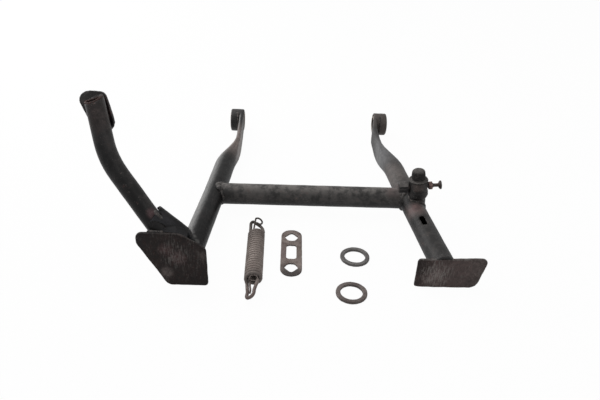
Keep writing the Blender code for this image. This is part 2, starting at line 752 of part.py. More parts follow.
def build_socket(steel, leg_gap):
    foot_radius = 0.5 * SOCKET_FOOT_DIAMETER
    top_radius = 0.5 * SOCKET_TOP_DIAMETER
    band_radius = 0.5 * SOCKET_BAND_DIAMETER
    profile = [(foot_radius - SOCKET_WALL, 0), (foot_radius, 0), (foot_radius, SOCKET_TAPER_START),
               (band_radius, SOCKET_BAND_START), (band_radius, SOCKET_BAND_END),
               (top_radius, SOCKET_BAND_END + band_radius - top_radius), (top_radius, SOCKET_LENGTH),
               (top_radius - SOCKET_WALL, SOCKET_LENGTH), (top_radius - SOCKET_WALL, SOCKET_BAND_START),
               (foot_radius - SOCKET_WALL, SOCKET_TAPER_START)]
    socket = add_piece("stop_socket", turned(profile), steel, base="stop_base")
    cut_with(socket, leg_gap)
    cut_with(socket, screw_space("socket_screw_space"))


def screw_space(name):
    reach = Vector((SOCKET_TOP_DIAMETER, 0, 0))
    middle = Vector((0, 0, SCREW_ABOVE_LEG_AXIS))
    radius = 0.5 * SCREW_DIAMETER + FIT_GAP
    return cylinder_cutter(name, middle - reach, middle + reach, radius, 24, "stop_base")


def build_cup_washer(steel):
    inner = 0.5 * BUFFER_STEM_DIAMETER + FIT_GAP
    outer = 0.5 * CUP_WASHER_DIAMETER
    sheet = CUP_WASHER_SHEET
    step = 0.5 * SOCKET_TOP_DIAMETER - SOCKET_WALL - FIT_GAP
    profile = [(inner, CUP_WASHER_DISH), (step, 0), (outer, 0), (outer, sheet),
               (step + 0.5 * sheet, sheet), (inner, CUP_WASHER_DISH + sheet)]
    place = (0, 0, SOCKET_LENGTH + FIT_GAP)
    add_piece("stop_cup_washer", turned(profile), steel, place, base="stop_base")


def build_buffer(rubber):
    """The rubber buffer: a head that stands on the cup washer, and a stem in the socket."""
    seat = SOCKET_LENGTH + FIT_GAP + CUP_WASHER_DISH + CUP_WASHER_SHEET + FIT_GAP
    stem = 0.5 * BUFFER_STEM_DIAMETER
    head = 0.5 * BUFFER_DIAMETER
    round_off = BUFFER_TOP_ROUND
    profile = [(0, -BUFFER_STEM_LENGTH), (stem, -BUFFER_STEM_LENGTH), (stem, 0), (head, 0)]
    for k in range(5):
        angle = math.radians(90 * k / 4)
        profile.append((0.94 * head - round_off * (1 - math.cos(angle)),
                        BUFFER_HEAD_HEIGHT - round_off * (1 - math.sin(angle))))
    profile.append((0, BUFFER_HEAD_HEIGHT))
    buffer = add_piece("stop_buffer", turned(profile), rubber, (0, 0, seat), base="stop_base")
    cut_with(buffer, screw_space("buffer_screw_space"))


def nut_seat(across_flats):
    """How far from the socket's axis a nut's face clears the socket."""
    corner = across_flats / math.sqrt(3)
    return socket_radius(SCREW_ABOVE_LEG_AXIS - corner) + FIT_GAP


def nut_mesh(across_flats, height):
    """A hexagonal nut about Z with a corner at +X, a plain bore and chamfered ends."""
    bore = 0.5 * SCREW_DIAMETER + FIT_GAP
    chamfer = 0.05 * across_flats
    outer = []
    inner = []
    for level, trimmed in ((0, True), (chamfer, False), (height - chamfer, False), (height, True)):
        ring = []
        for k in range(24):
            angle = 2 * math.pi * k / 24
            from_flat = (angle % (math.pi / 3)) - math.pi / 6
            radius = 0.5 * across_flats / math.cos(from_flat)
            if trimmed:
                radius = min(radius, 0.5 * across_flats)
            ring.append(Vector((radius * math.cos(angle), radius * math.sin(angle), level)))
        outer.append(ring)
        if trimmed:
            inner.append([Vector((bore * p.x / p.xy.length, bore * p.y / p.xy.length, level)) for p in ring])
    return hollow_sweep(outer, inner)


def build_screw_and_nuts(steel, rust):
    turn = (0, math.radians(90), 0)
    high = SCREW_ABOVE_LEG_AXIS
    lock_start = nut_seat(LOCK_NUT_ACROSS_FLATS)
    long_start = -nut_seat(LONG_NUT_ACROSS_FLATS) - LONG_NUT_HEIGHT
    lock_nut = nut_mesh(LOCK_NUT_ACROSS_FLATS, LOCK_NUT_HEIGHT)
    add_piece("anchor_lock_nut", lock_nut, rust, (lock_start, 0, high), turn, "stop_base")
    long_nut = nut_mesh(LONG_NUT_ACROSS_FLATS, LONG_NUT_HEIGHT)
    add_piece("anchor_long_nut", long_nut, steel, (long_start, 0, high), turn, "stop_base")
    shank = 0.5 * SCREW_DIAMETER
    neck = 0.5 * SCREW_NECK_DIAMETER
    head = 0.5 * SCREW_HEAD_DIAMETER
    shank_end = lock_start + LOCK_NUT_HEIGHT + 0.2 * SCREW_DIAMETER
    cone = shank_end + SCREW_NECK_LENGTH
    rim = cone + SCREW_HEAD_CONE
    profile = [(0, long_start), (0.8 * shank, long_start), (shank, long_start + 0.2 * shank),
               (shank, shank_end), (neck, shank_end + 0.2 * shank), (neck, cone), (head, rim),
               (head, rim + SCREW_HEAD_RIM), (0, rim + SCREW_HEAD_RIM)]
    add_piece("spring_anchor_screw", turned(profile, 24), steel, (0, 0, high), turn, "stop_base")


# Return springs, link and washers

def smooth_route(points, steps):
    """Catmull-Rom curve through the points."""
    route = []
    for i in range(len(points) - 1):
        a = points[max(i - 1, 0)]
        b, c = points[i], points[i + 1]
        d = points[min(i + 2, len(points) - 1)]
        for k in range(steps):
            t = k / steps
            route.append(0.5 * (2 * b + (c - a) * t + (2 * a - 5 * b + 4 * c - d) * t * t
                                + (3 * b - a - 3 * c + d) * t * t * t))
    route.append(points[-1])
    return route


def coil(radius, pitch, turns, steps):
    """Points of a coil along +Y that starts and ends on its -X side."""
    points = []
    for k in range(turns * steps + 1):
        angle = math.pi + 2 * math.pi * k / steps
        points.append(Vector((radius * math.cos(angle), pitch * k / steps, -radius * math.sin(angle))))
    return points


def hook(radius, reach, half_width, wire, turn, lean=0.0):
    """A drawn-out loop beyond a coil's end at Y = 0, turned about the coil's axis."""
    tip = reach - 0.5 * wire - half_width
    flat = [Vector((-0.93 * radius, 0.9 * wire, 0)), Vector((-0.5 * (radius + half_width), 0.4 * tip, 0)),
            Vector((-half_width, 0.75 * tip, 0))]
    for k in range(5):
        angle = math.pi * (1 - k / 4)
        flat.append(Vector((half_width * math.cos(angle), tip + half_width * math.sin(angle), 0)))
    flat += [Vector((half_width, 0.75 * tip, 0)), Vector((0.5 * (radius + half_width), 0.4 * tip, 0)),
             Vector((0.8 * radius, 1.4 * wire, 0))]
    return leaning(flat, turn, lean / reach)


def leaning(points, turn, lean):
    """Points of a hook turned about the coil's axis, and moved across by lean times their reach."""
    spin = Matrix.Rotation(turn, 3, "Y")
    return [spin @ p + Vector((lean * p.y, 0, 0)) for p in points]


def slanted_hook(radius, reach, tip_offset, wire):
    """A hook whose straight side runs out on the left, and whose other side slants back to the right."""
    tip = Vector((tip_offset, reach - 0.5 * wire, 0))
    foot = Vector((radius, 0.8 * wire, 0))
    left = -0.9 * radius
    straight = [Vector((left, y, 0)) for y in (0.9 * wire, 0.5 * tip.y, 0.86 * tip.y)]
    return (straight + [tip]
            + [tip.lerp(foot, share) + Vector((bulge * wire, bulge * wire, 0))
               for share, bulge in ((0.25, 0.3), (0.5, 0.55), (0.75, 0.5), (1.0, 0.0))])


def strand_beside(coil_radius, side_radius, half_width, reach, beside):
    """A straight strand that runs out beside the left strand of an outer hook."""
    start = Vector((-0.93 * coil_radius, 0.3 * beside, 0))
    middle = Vector((beside - 0.5 * (side_radius + half_width), 0.45 * reach, 0))
    end_x = beside - half_width
    return [start, middle, Vector((end_x, 0.8 * reach, 0)), Vector((end_x, reach, 0))]


def end_loop(coil_radius, wire):
    """A strand that rises from the left of the inner coil into an open ring above the outer hook."""
    lean = math.radians(INNER_LOOP_LEAN)
    tilt = math.radians(INNER_LOOP_TILT)
    slope = Vector((0, math.cos(lean), math.sin(lean)))
    across = Vector((math.cos(tilt), 0, 0)) - slope * math.sin(tilt)
    upward = Vector((math.sin(tilt), 0, 0)) + slope * math.cos(tilt)
    centre = Vector((INNER_LOOP_OFFSET, INNER_LOOP_REACH, INNER_LOOP_RISE))
    start = Vector((-0.93 * coil_radius, 0.9 * wire, 0))
    long_radius = 0.5 * INNER_LOOP_LENGTH
    short_radius = 0.5 * INNER_LOOP_WIDTH
    entry = centre - across * long_radius
    points = [start, start.lerp(entry, 0.35) + Vector((0, 0, -0.3 * wire)), start.lerp(entry, 0.75)]
    for k in range(11):
        angle = math.radians(28 * k)
        rise = short_radius * math.sin(angle)
        points.append(centre + upward * rise - across * (long_radius * math.cos(angle)))
    return points


def add_spring(name, finish, points, wire, resolution):
    curve = bpy.data.curves.new(name, "CURVE")
    curve.dimensions = "3D"
    curve.bevel_depth = 0.5 * wire
    curve.bevel_resolution = resolution
    curve.use_fill_caps = True
    spline = curve.splines.new("POLY")
    spline.points.add(len(points) - 1)
    for slot, point in zip(spline.points, points):
        slot.co = (*point, 1.0)
    place = (-SPRING_LEFT_OF_MIDDLE, -SPRING_NEAR_END_FROM_CROSS_TUBE, 0.5 * OUTER_SPRING_DIAMETER)
    add_object(name, curve, finish, place)


def spring_points(body, start, near_hook, far_hook):
    """One wire: near hook, coil and far hook."""
    body = [p + Vector((0, start, 0)) for p in body]
    near = smooth_route([Vector((p.x, start - p.y, p.z)) for p in near_hook][::-1] + body[:2], 3)
    end = body[-1].y
    far = smooth_route(body[-2:] + [Vector((p.x, end + p.y, p.z)) for p in far_hook], 3)
    return near[:-3] + body[1:-1] + far[3:]


def build_springs(steel):
    outer_radius = 0.5 * (OUTER_SPRING_DIAMETER - OUTER_WIRE)
    near_width = 0.5 * (OUTER_NEAR_HOOK_WIDTH - OUTER_WIRE)
    turn = math.radians(NEAR_HOOK_TURN)
    near = hook(outer_radius, OUTER_NEAR_HOOK_REACH, near_width, OUTER_WIRE, turn, OUTER_NEAR_HOOK_LEAN)
    far = slanted_hook(outer_radius, OUTER_FAR_HOOK_REACH, OUTER_FAR_HOOK_TIP_OFFSET, OUTER_WIRE)
    points = spring_points(coil(outer_radius, OUTER_PITCH, OUTER_TURNS, OUTER_STEPS_PER_TURN), 0, near, far)
    add_spring("outer_spring", steel, points, OUTER_WIRE, 2)

    inner_radius = 0.5 * (INNER_SPRING_DIAMETER - INNER_WIRE)
    beside = 0.5 * (OUTER_WIRE + INNER_WIRE) + 2 * FIT_GAP
    strand = strand_beside(inner_radius, outer_radius, near_width, INNER_NEAR_HOOK_REACH, beside)
    near = leaning(strand, turn, OUTER_NEAR_HOOK_LEAN / OUTER_NEAR_HOOK_REACH)
    far = end_loop(inner_radius, INNER_WIRE)
    spare = OUTER_PITCH * OUTER_TURNS - INNER_PITCH * INNER_TURNS
    body = coil(inner_radius, INNER_PITCH, INNER_TURNS, INNER_STEPS_PER_TURN)
    points = spring_points(body, 0.5 * spare, near, far)
    add_spring("inner_spring", steel, points, INNER_WIRE, 1)


def build_link(steel):
    """The spring link: a strip with round ends, a slot, and a pointed eye at each end."""
    half = 0.5 * LINK_LENGTH
    wide = 0.5 * LINK_WIDTH
    strip = [(-wide, -half), (wide, -half), (wide, half), (-wide, half)]
    place = (-LINK_LEFT_OF_MIDDLE, -LINK_FROM_CROSS_TUBE, 0)
    turn = (math.radians(-90), 0, math.radians(LINK_TURN))
    bm = extruded(rounded_outline(strip, [wide] * 4, 6), LINK_THICKNESS)
    bevel_rims(bm, 0.12 * LINK_THICKNESS)
    link = add_piece("spring_link", bm, steel, (*place[:2], LINK_THICKNESS), turn)
    slot_x = 0.5 * LINK_SLOT_WIDTH
    slot_y = 0.5 * LINK_SLOT_LENGTH
    slot = [(-slot_x, -slot_y), (slot_x, -slot_y), (slot_x, slot_y), (-slot_x, slot_y)]
    holes = [(slot, [0.0035] * 4)]
    for end in (-1, 1):
        apex = end * (half - LINK_EYE_MARGIN)
        widest = apex - end * 0.55 * LINK_EYE_LENGTH
        base = apex - end * LINK_EYE_LENGTH
        eye_x = 0.5 * LINK_EYE_WIDTH
        eye = [(0, apex), (eye_x, widest), (0.45 * eye_x, base), (-0.45 * eye_x, base), (-eye_x, widest)]
        radii = [0.0035, 0.0012, 0.0050, 0.0050, 0.0012]
        if end > 0:
            eye.reverse()
            radii.reverse()
        holes.append((eye, radii))
    for number, (corners, radii) in enumerate(holes):
        bm = extruded(rounded_outline(corners, radii, 4), 3 * LINK_THICKNESS)
        high = (*place[:2], 2 * LINK_THICKNESS)
        cut_with(link, add_piece("link_hole_space_%d" % number, bm, None, high, turn))


def build_washer(name, right_of_middle, from_cross_tube, steel):
    ring = turned(ring_profile(WASHER_BORE, WASHER_DIAMETER, WASHER_THICKNESS, 0.0004))
    add_piece(name, ring, steel, (right_of_middle, -from_cross_tube, 0))


def main():
    clear_scene()
    add_base("stand_root", (STAND_MID_X, CROSS_TUBE_Y, 0))

    paint = material("worn_black_paint", (0.045, 0.043, 0.042), 0.5, 0.15)
    dusty_paint = material("dusty_black_paint", (0.075, 0.070, 0.068), 0.6, 0.1)
    foot_steel = material("rusted_foot_steel", (0.062, 0.045, 0.040), 0.75, 0.2)
    boss_steel = material("worn_boss_steel", (0.085, 0.072, 0.066), 0.6, 0.4)
    bronze = material("pivot_bush_bronze", (0.20, 0.15, 0.10), 0.45, 0.8)
    rubber = material("stop_rubber_black", (0.055, 0.050, 0.050), 0.85, 0.0)
    rust = material("red_rust", (0.17, 0.075, 0.055), 0.85, 0.1)
    spring_steel = material("dull_spring_steel", (0.155, 0.137, 0.125), 0.5, 0.6)
    plate_steel = material("dull_plate_steel", (0.115, 0.100, 0.090), 0.55, 0.6)

    left_leg_space = leg_space("left_leg_space", -1)
    right_leg_space = leg_space("right_leg_space", 1)
    plate_limit = plate_back(LEFT_SOLE_FROM_CROSS_TUBE) + FIT_GAP
    left_plate_space = box_cutter("left_plate_space", (-0.5, -0.5, -0.2), (0.2, plate_limit, 0.5))

    build_leg("left_leg", -1, paint)
    cut_leg_slot(build_leg("right_leg", 1, dusty_paint))
    build_cross_tube(dusty_paint, (left_leg_space, right_leg_space))
    build_eye("left", -1, boss_steel, bronze)
    build_eye("right", 1, boss_steel, bronze)
    build_right_foot(foot_steel)
    build_left_foot(foot_steel)
    build_lever(paint, left_leg_space, left_plate_space)
    build_tread(paint)
    build_gusset(paint, left_leg_space, left_plate_space)
    build_stop_base()
    build_socket(foot_steel, right_leg_space)
    build_cup_washer(foot_steel)
    build_buffer(rubber)
    build_screw_and_nuts(boss_steel, rust)
    build_springs(spring_steel)
    build_link(plate_steel)
    build_washer("rear_pivot_washer", REAR_WASHER_RIGHT_OF_MIDDLE, REAR_WASHER_FROM_CROSS_TUBE, plate_steel)
    build_washer("front_pivot_washer", FRONT_WASHER_RIGHT_OF_MIDDLE, FRONT_WASHER_FROM_CROSS_TUBE,
                 plate_steel)


main()
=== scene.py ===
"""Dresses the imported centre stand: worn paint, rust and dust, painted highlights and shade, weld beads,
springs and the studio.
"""

import math
import random

import bpy
from bpy.props import FloatProperty, FloatVectorProperty, IntProperty, PointerProperty
from bpy.types import Operator, Panel, PropertyGroup
from mathutils import Matrix, Vector


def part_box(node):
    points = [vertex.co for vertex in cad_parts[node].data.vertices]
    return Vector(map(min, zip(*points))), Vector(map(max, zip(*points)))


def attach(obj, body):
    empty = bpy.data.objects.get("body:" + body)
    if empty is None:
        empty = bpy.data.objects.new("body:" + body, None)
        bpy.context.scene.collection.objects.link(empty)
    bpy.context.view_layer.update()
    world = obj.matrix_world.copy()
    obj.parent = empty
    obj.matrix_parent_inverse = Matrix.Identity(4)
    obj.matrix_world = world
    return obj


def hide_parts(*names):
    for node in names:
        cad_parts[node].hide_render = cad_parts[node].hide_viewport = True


bl_info = {
    "name": "Worn centre stand",
    "version": (1, 0, 0),
    "blender": (4, 5, 0),
    "location": "3D View > Sidebar > Stand",
    "description": "Finishes a centre stand, its loose springs, link and washers, and the studio",
    "category": "Object",
}

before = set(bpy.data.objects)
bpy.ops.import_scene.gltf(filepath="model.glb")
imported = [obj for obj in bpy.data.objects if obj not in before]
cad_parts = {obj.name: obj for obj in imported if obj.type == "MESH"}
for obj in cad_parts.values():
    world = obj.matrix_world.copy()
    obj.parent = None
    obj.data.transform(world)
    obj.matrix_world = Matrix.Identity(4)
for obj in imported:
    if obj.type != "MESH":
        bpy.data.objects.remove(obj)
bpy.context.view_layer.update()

# Places and sizes that the part is built on, in metres and degrees. The stand's own frame has its origin on
# the ground under the middle of the cross tube.
STAND_MIDDLE = Vector((0.036, -0.0375, 0.0))
TUBE_RADIUS = 0.014
CROSS_TUBE_HEIGHT = 0.0255
LEG_HALF_SPACING = 0.1294
LEG_SPLAY = 0.0804
FOOT_SPLAY = 0.102
FOOT_RISE = 0.025
FOOT_PLATE_BACK = {"left": -0.1555, "right": -0.1495}
STOP_PLACE = (0.1378, -0.022, 0.0261)
STOP_LEAN = -6.0
LEVER_TOP = (-0.2484, -0.0712, 0.1855)
LEVER_TOP_AXIS = (-0.281, 0.605, 0.745)
LEVER_CUT = (-0.352, 0.039, 0.935)
LEVER_DIAMETER = 0.022
LEVER_LIP_RADIUS = 0.0013
SPRING_PLACE = (-0.0707, -0.1585, 0.0106)
NEAR_HOOK_REACH = 0.0335
NEAR_HOOK_WIDTH = 0.0134
FAR_HOOK_REACH = 0.0286
FAR_HOOK_TIP = -0.005
HOOK_TURN = -35.0
HOOK_LEAN = -0.0025 / NEAR_HOOK_REACH
STRAND_REACH = 0.025
STRAND_GAP = 0.0008

# Where the welds lie: off the tubes, along a leg's end behind its foot plate, and round a pivot boss
WELD_OFF_TUBE = 0.0004
WELD_OFF_LEG = 0.0006
FOOT_WELD_SUNK = 0.0017
FOOT_WELD_ROWS = (-0.0016, 0.0002, 0.0018)
EYE_WELD_RADIUS = 0.0183
BOSS_BEYOND_FLAT = 0.0022
FLAT_TO_WELD = 0.0072

# The photograph's viewpoint, fitted to the stand: its place before the turn about the upright axis, and how
# far it looks down, rolls and turns
CAMERA_PLACE = (-0.0155, -0.7142, 0.464)
CAMERA_PITCH, CAMERA_ROLL, CAMERA_TURN = 31.99, -2.83, 2.43
CAMERA_SENSOR, CAMERA_LENS = 36.0, 37.68

# The shares of white that the floor and the background show, and the strength of the light from all round
FLOOR_SEEN, FLOOR_MIRRORED, BACKGROUND_MIRRORED = 0.97, 0.8, 0.7
SOFT_LIGHT = 0.34

UPWARD = (0, 0, 1)
X_AXIS, Y_AXIS, Z_AXIS = 0, 1, 2


class StandSizes(PropertyGroup):
    bead_radius: FloatProperty(
        name="Weld bead", description="Radius of the weld beads round the tubes",
        default=0.0025, min=0.0005, max=0.006, unit="LENGTH")
    fine_bead_radius: FloatProperty(
        name="Fine weld bead", description="Radius of the small weld beads",
        default=0.0016, min=0.0003, max=0.004, unit="LENGTH")
    plate_lumps: FloatProperty(
        name="Plate lumps", description="How far the foot plates' beaten surface rises and falls",
        default=0.001, min=0.0, max=0.003, unit="LENGTH")
    tube_lumps: FloatProperty(
        name="Tube lumps", description="How far the tubes' painted surface rises and falls",
        default=0.0005, min=0.0, max=0.002, unit="LENGTH")
    washer_wear: FloatProperty(
        name="Washer wear", description="How far the washers' and the link's surface rises and falls",
        default=0.0004, min=0.0, max=0.001, unit="LENGTH")
    outer_wire: FloatProperty(
        name="Outer wire", description="Wire of the outer spring", default=0.004, min=0.001, max=0.006,
        unit="LENGTH")
    outer_diameter: FloatProperty(
        name="Outer spring", description="Diameter over the outer coil", default=0.0212, min=0.01, max=0.04,
        unit="LENGTH")
    outer_turns: IntProperty(
        name="Outer turns", description="Turns of the outer coil", default=20, min=2, max=60)
    outer_pitch: FloatProperty(
        name="Outer pitch", description="Advance of the outer coil in one turn", default=0.0044, min=0.001,
        max=0.02, unit="LENGTH")
    inner_wire: FloatProperty(
        name="Inner wire", description="Wire of the inner spring", default=0.0022, min=0.0005, max=0.004,
        unit="LENGTH")
    inner_diameter: FloatProperty(
        name="Inner spring", description="Diameter over the inner coil", default=0.012, min=0.005, max=0.03,
        unit="LENGTH")
    inner_turns: IntProperty(
        name="Inner turns", description="Turns of the inner coil", default=26, min=2, max=60)
    inner_pitch: FloatProperty(
        name="Inner pitch", description="Advance of the inner coil in one turn", default=0.0033, min=0.001,
        max=0.02, unit="LENGTH")


class StandColours(PropertyGroup):
    paint: FloatVectorProperty(
        name="Paint", description="Black paint on the tubes", subtype="COLOR", size=3,
        default=(0.011, 0.0105, 0.0107))
    dust: FloatVectorProperty(
        name="Dust", description="Dust that lies on upper faces", subtype="COLOR", size=3,
        default=(0.17, 0.158, 0.15))
    bare: FloatVectorProperty(
        name="Bare steel", description="Steel in scratches and chips", subtype="COLOR", size=3,
        default=(0.26, 0.24, 0.225))
    dark_rust: FloatVectorProperty(
        name="Dark rust", description="Old rust and dirt on the foot plates", subtype="COLOR", size=3,
        default=(0.015, 0.0105, 0.0098))
    red_rust: FloatVectorProperty(
        name="Red rust", description="Fresh rust", subtype="COLOR", size=3, default=(0.15, 0.055, 0.045))
    steel: FloatVectorProperty(
        name="Dull steel", description="Steel of the springs, link and washers", subtype="COLOR", size=3,
        default=(0.2, 0.168, 0.152))
    rubber: FloatVectorProperty(
        name="Rubber", description="Rubber of the stop", subtype="COLOR", size=3,
        default=(0.016, 0.0145, 0.014))
    bronze: FloatVectorProperty(
        name="Bush", description="Bush in the pivot eyes", subtype="COLOR", size=3,
        default=(0.3, 0.26, 0.22))
    floor: FloatVectorProperty(
        name="Floor", description="Studio floor", subtype="COLOR", size=3, default=(0.86, 0.86, 0.86))


def sizes():
    return bpy.context.scene.stand_sizes


def colours():
    return bpy.context.scene.stand_colours


def at_stand(x, y, z):
    """A place in the stand's own frame, in the frame of the whole set."""
    return STAND_MIDDLE + Vector((x, y, z))


# Materials

def feed(tree, slot, item):
    """Sets a socket to a number or colour, or links a value to it."""
    if isinstance(item, Value):
        tree.links.new(item.socket, slot)
    else:
        slot.default_value = item


class Value:
    """A socket of a material. Arithmetic on it adds Math nodes."""

    def __init__(self, tree, socket):
        self.tree = tree
        self.socket = socket

    def math(self, operation, *terms):
        node = self.tree.nodes.new("ShaderNodeMath")
        node.operation = operation
        for slot, term in zip(node.inputs, terms):
            feed(self.tree, slot, term)
        return Value(self.tree, node.outputs[0])

    def __add__(self, other):
        return self.math("ADD", self, other)

    def __radd__(self, other):
        return self.math("ADD", other, self)

    def __sub__(self, other):
        return self.math("SUBTRACT", self, other)

    def __rsub__(self, other):
        return self.math("SUBTRACT", other, self)

    def __mul__(self, other):
        return self.math("MULTIPLY", self, other)

    def __rmul__(self, other):
        return self.math("MULTIPLY", other, self)


class Finish:
    """A material in the making, with its colour so far and the patterns that the finishes share."""

    def __init__(self, name, specular=0.5):
        self.material = bpy.data.materials.new(name)
        self.material.use_nodes = True
        self.tree = self.material.node_tree
        self.shader = self.tree.nodes["Principled BSDF"]
        self.shader.inputs["Specular IOR Level"].default_value = specular
        self.place = self.node("ShaderNodeTexCoord", {}, {}, "Object")
        self.normal = self.node("ShaderNodeNewGeometry", {}, {}, "Normal")

    def node(self, kind, settings, inputs, output):
        """Adds a node, first its settings and then its sockets, and returns one of its outputs."""
        node = self.tree.nodes.new(kind)
        for key, setting in settings.items():
            setattr(node, key, setting)
        for key, item in inputs.items():
            feed(self.tree, node.inputs[key], item)
        return Value(self.tree, node.outputs[output])

    def clouds(self, size, detail=4.0, roughness=0.6, drawn=(1, 1, 1), shift=0.0):
        """Soft clouds of about this size in metres, drawn out along the axes."""
        scale = [1 / (size * d) for d in drawn]
        place = self.node("ShaderNodeMapping", {},
                          {"Vector": self.place, "Location": [shift] * 3, "Scale": scale}, 0)
        return self.node("ShaderNodeTexNoise", {},
                         {"Vector": place, "Scale": 1.0, "Detail": detail, "Roughness": roughness}, 0)

    def band(self, value, low, high):
        """0 at low and 1 at high, smooth between them."""
        return self.node("ShaderNodeMapRange", {"interpolation_type": "SMOOTHSTEP"},
                         {"Value": value, "From Min": low, "From Max": high}, "Result")

    def facing(self, direction, low, high):
        """Where the surface faces a direction."""
        lean = self.node("ShaderNodeVectorMath", {"operation": "DOT_PRODUCT"},
                         {0: self.normal, 1: Vector(direction).normalized()}, "Value")
        return self.band(lean, low, high)

    def near(self, place, radius, core=0.25):
        """1 close to a place in the stand's frame, and 0 beyond the radius."""
        away = self.node("ShaderNodeVectorMath", {"operation": "DISTANCE"},
                         {0: self.place, 1: at_stand(*place)}, "Value")
        return self.band(away, radius, core * radius)

    def mix(self, share, first, second):
        """The first colour turned into the second by share."""
        inputs = {0: share}
        for slot, colour in ((6, first), (7, second)):
            inputs[slot] = colour if isinstance(colour, Value) else (*colour, 1.0)
        return self.node("ShaderNodeMix", {"data_type": "RGBA", "clamp_factor": True}, inputs, 2)

    def lay(self, share, colour):
        """Turns the colour so far into this one by share."""
        self.colour = self.mix(share, self.colour, colour)

    def lay_patches(self, patches, speckle):
        """Lays patches: each a place, a radius, a colour, a strength and a blotchiness."""
        for place, radius, patch, strength, blotchy in patches:
            blotches = 1.0 - blotchy + blotchy * self.band(speckle, 0.6, 1.0)
            self.lay(self.near(place, radius) * blotches * strength, patch)

    def done(self, roughness, height, relief, metallic=0.0):
        """Feeds the shader. Relief is the height of the bumps in metres."""
        bump = self.node("ShaderNodeBump", {},
                         {"Strength": 1.0, "Distance": relief, "Height": height}, "Normal")
        for slot, item in (("Base Color", self.colour), ("Roughness", roughness), ("Metallic", metallic),
                           ("Normal", bump)):
            feed(self.tree, self.shader.inputs[slot], item)
        return self.material


def scaled(colour, share):
    return tuple(share * c for c in colour)


def tube_paint(name, base, films, grain, chips=0.5, gloss=0.42, patches=(), shine=0.22):
    """Worn black paint under films of dust, painted highlight and painted shade, with grain as the axis that
    its scratches run along.

    Base lightens the paint, chips is the damage, gloss the least roughness and shine the specular level.
    A film is a direction, where it starts and is full, a colour, a strength and a blotchiness.
    """
    tint = colours()
    made = Finish(name, shine)
    wide = made.clouds(0.03, 5.0, 0.62)
    patchy = made.clouds(0.008, 5.0, 0.66, shift=3.1)
    grit = made.clouds(0.0014, 3.0, 0.6, shift=7.7)
    drawn = [0.35 if axis == grain else 0.02 for axis in range(3)]
    scratch = made.clouds(0.055, 3.0, 0.55, drawn, shift=1.7)
    paint = scaled(tint.paint, base)
    made.colour = made.mix(made.band(wide + patchy, 0.85, 1.25), scaled(paint, 0.75), scaled(paint, 1.9))
    # The films' sum, painted highlight and painted shade as well as dust, roughens the paint.
    dusty = 0.0
    for direction, start, full, film, strength, blotchy in films:
        blotches = 1.0 - blotchy + 2.0 * blotchy * made.band(wide + patchy, 0.8, 1.22)
        spread = made.facing(direction, start, full) * blotches * strength
        made.lay(spread * (0.75 + 0.5 * grit), film)
        dusty = dusty + spread
    stain = made.band(patchy + 0.3 * wide, 0.7, 0.86)
    made.lay(stain * (0.45 * chips), scaled(tint.red_rust, 0.3))
    made.lay_patches(patches, patchy + 0.6 * grit)
    worn = made.band(patchy + 0.4 * grit, 0.86, 0.95) * chips
    made.lay(worn * 0.8, scaled(tint.red_rust, 0.75))
    scuffed = made.band(scratch, 0.64, 0.72) * made.band(wide, 0.38, 0.58) * (0.55 * chips)
    made.lay(scuffed, scaled(tint.bare, 0.8))
    specks = made.band(grit + 0.45 * patchy, 0.9, 0.97) * chips
    made.lay(specks, tint.bare)
    rough = gloss + 0.25 * dusty + 0.2 * worn + 0.14 * patchy
    return made.done(rough, patchy * 0.7 + grit * 0.25 - worn * 0.5, 0.00045)


def plate_rust(name, middle, reach, tone, scuffs, scraped, dusty, patches):
    """Dark rust on a foot plate, black beyond its middle, with light scuffs from the ground.

    Reach is how far the rusty middle goes, tone lightens it, and scuffs and dusty are strengths.
    Scraped is a place, a radius and a strength of heavier scuffs.
    """
    tint = colours()
    made = Finish(name, 0.2)
    wide = made.clouds(0.018, 5.0, 0.65, shift=5.0)
    patchy = made.clouds(0.0048, 5.0, 0.7, shift=2.2)
    grit = made.clouds(0.0013, 3.0, 0.65, shift=9.4)
    streak = made.clouds(0.014, 4.0, 0.62, (0.085, 0.3, 0.6), shift=4.4)
    dark = scaled(tint.dark_rust, tone)
    inside = made.near(middle, reach, 0.62)
    made.colour = made.mix(made.band(wide + 0.8 * patchy, 0.72, 1.1), scaled(dark, 0.62), scaled(dark, 1.35))
    made.lay(made.band(patchy, 0.46, 0.7) * 0.5, scaled(tint.red_rust, 0.16 * tone))
    made.lay_patches(patches, patchy + 0.6 * grit)
    place, radius, heavy = scraped
    strong = made.near(place, radius)
    scuff = (made.band(streak + 0.35 * grit + 0.08 * strong, 0.68, 0.84)
             * made.band(wide + 0.3 * strong, 0.36, 0.6))
    made.lay(scuff * (scuffs + heavy * strong), tint.bare)
    made.lay(made.band(grit + 0.5 * patchy, 0.86, 0.97) * (0.8 * scuffs), tint.bare)
    made.lay((1.0 - inside) * 0.75, scaled(tint.paint, 0.7))
    top = made.facing(UPWARD, 0.35, 0.9)
    made.lay(top * dusty * made.band(patchy, 0.4, 0.6), scaled(tint.dust, 0.75))
    rough = 0.6 + 0.25 * patchy - 0.1 * scuff
    return made.done(rough, wide * 0.8 + patchy * 0.6 + grit * 0.25, 0.0009)


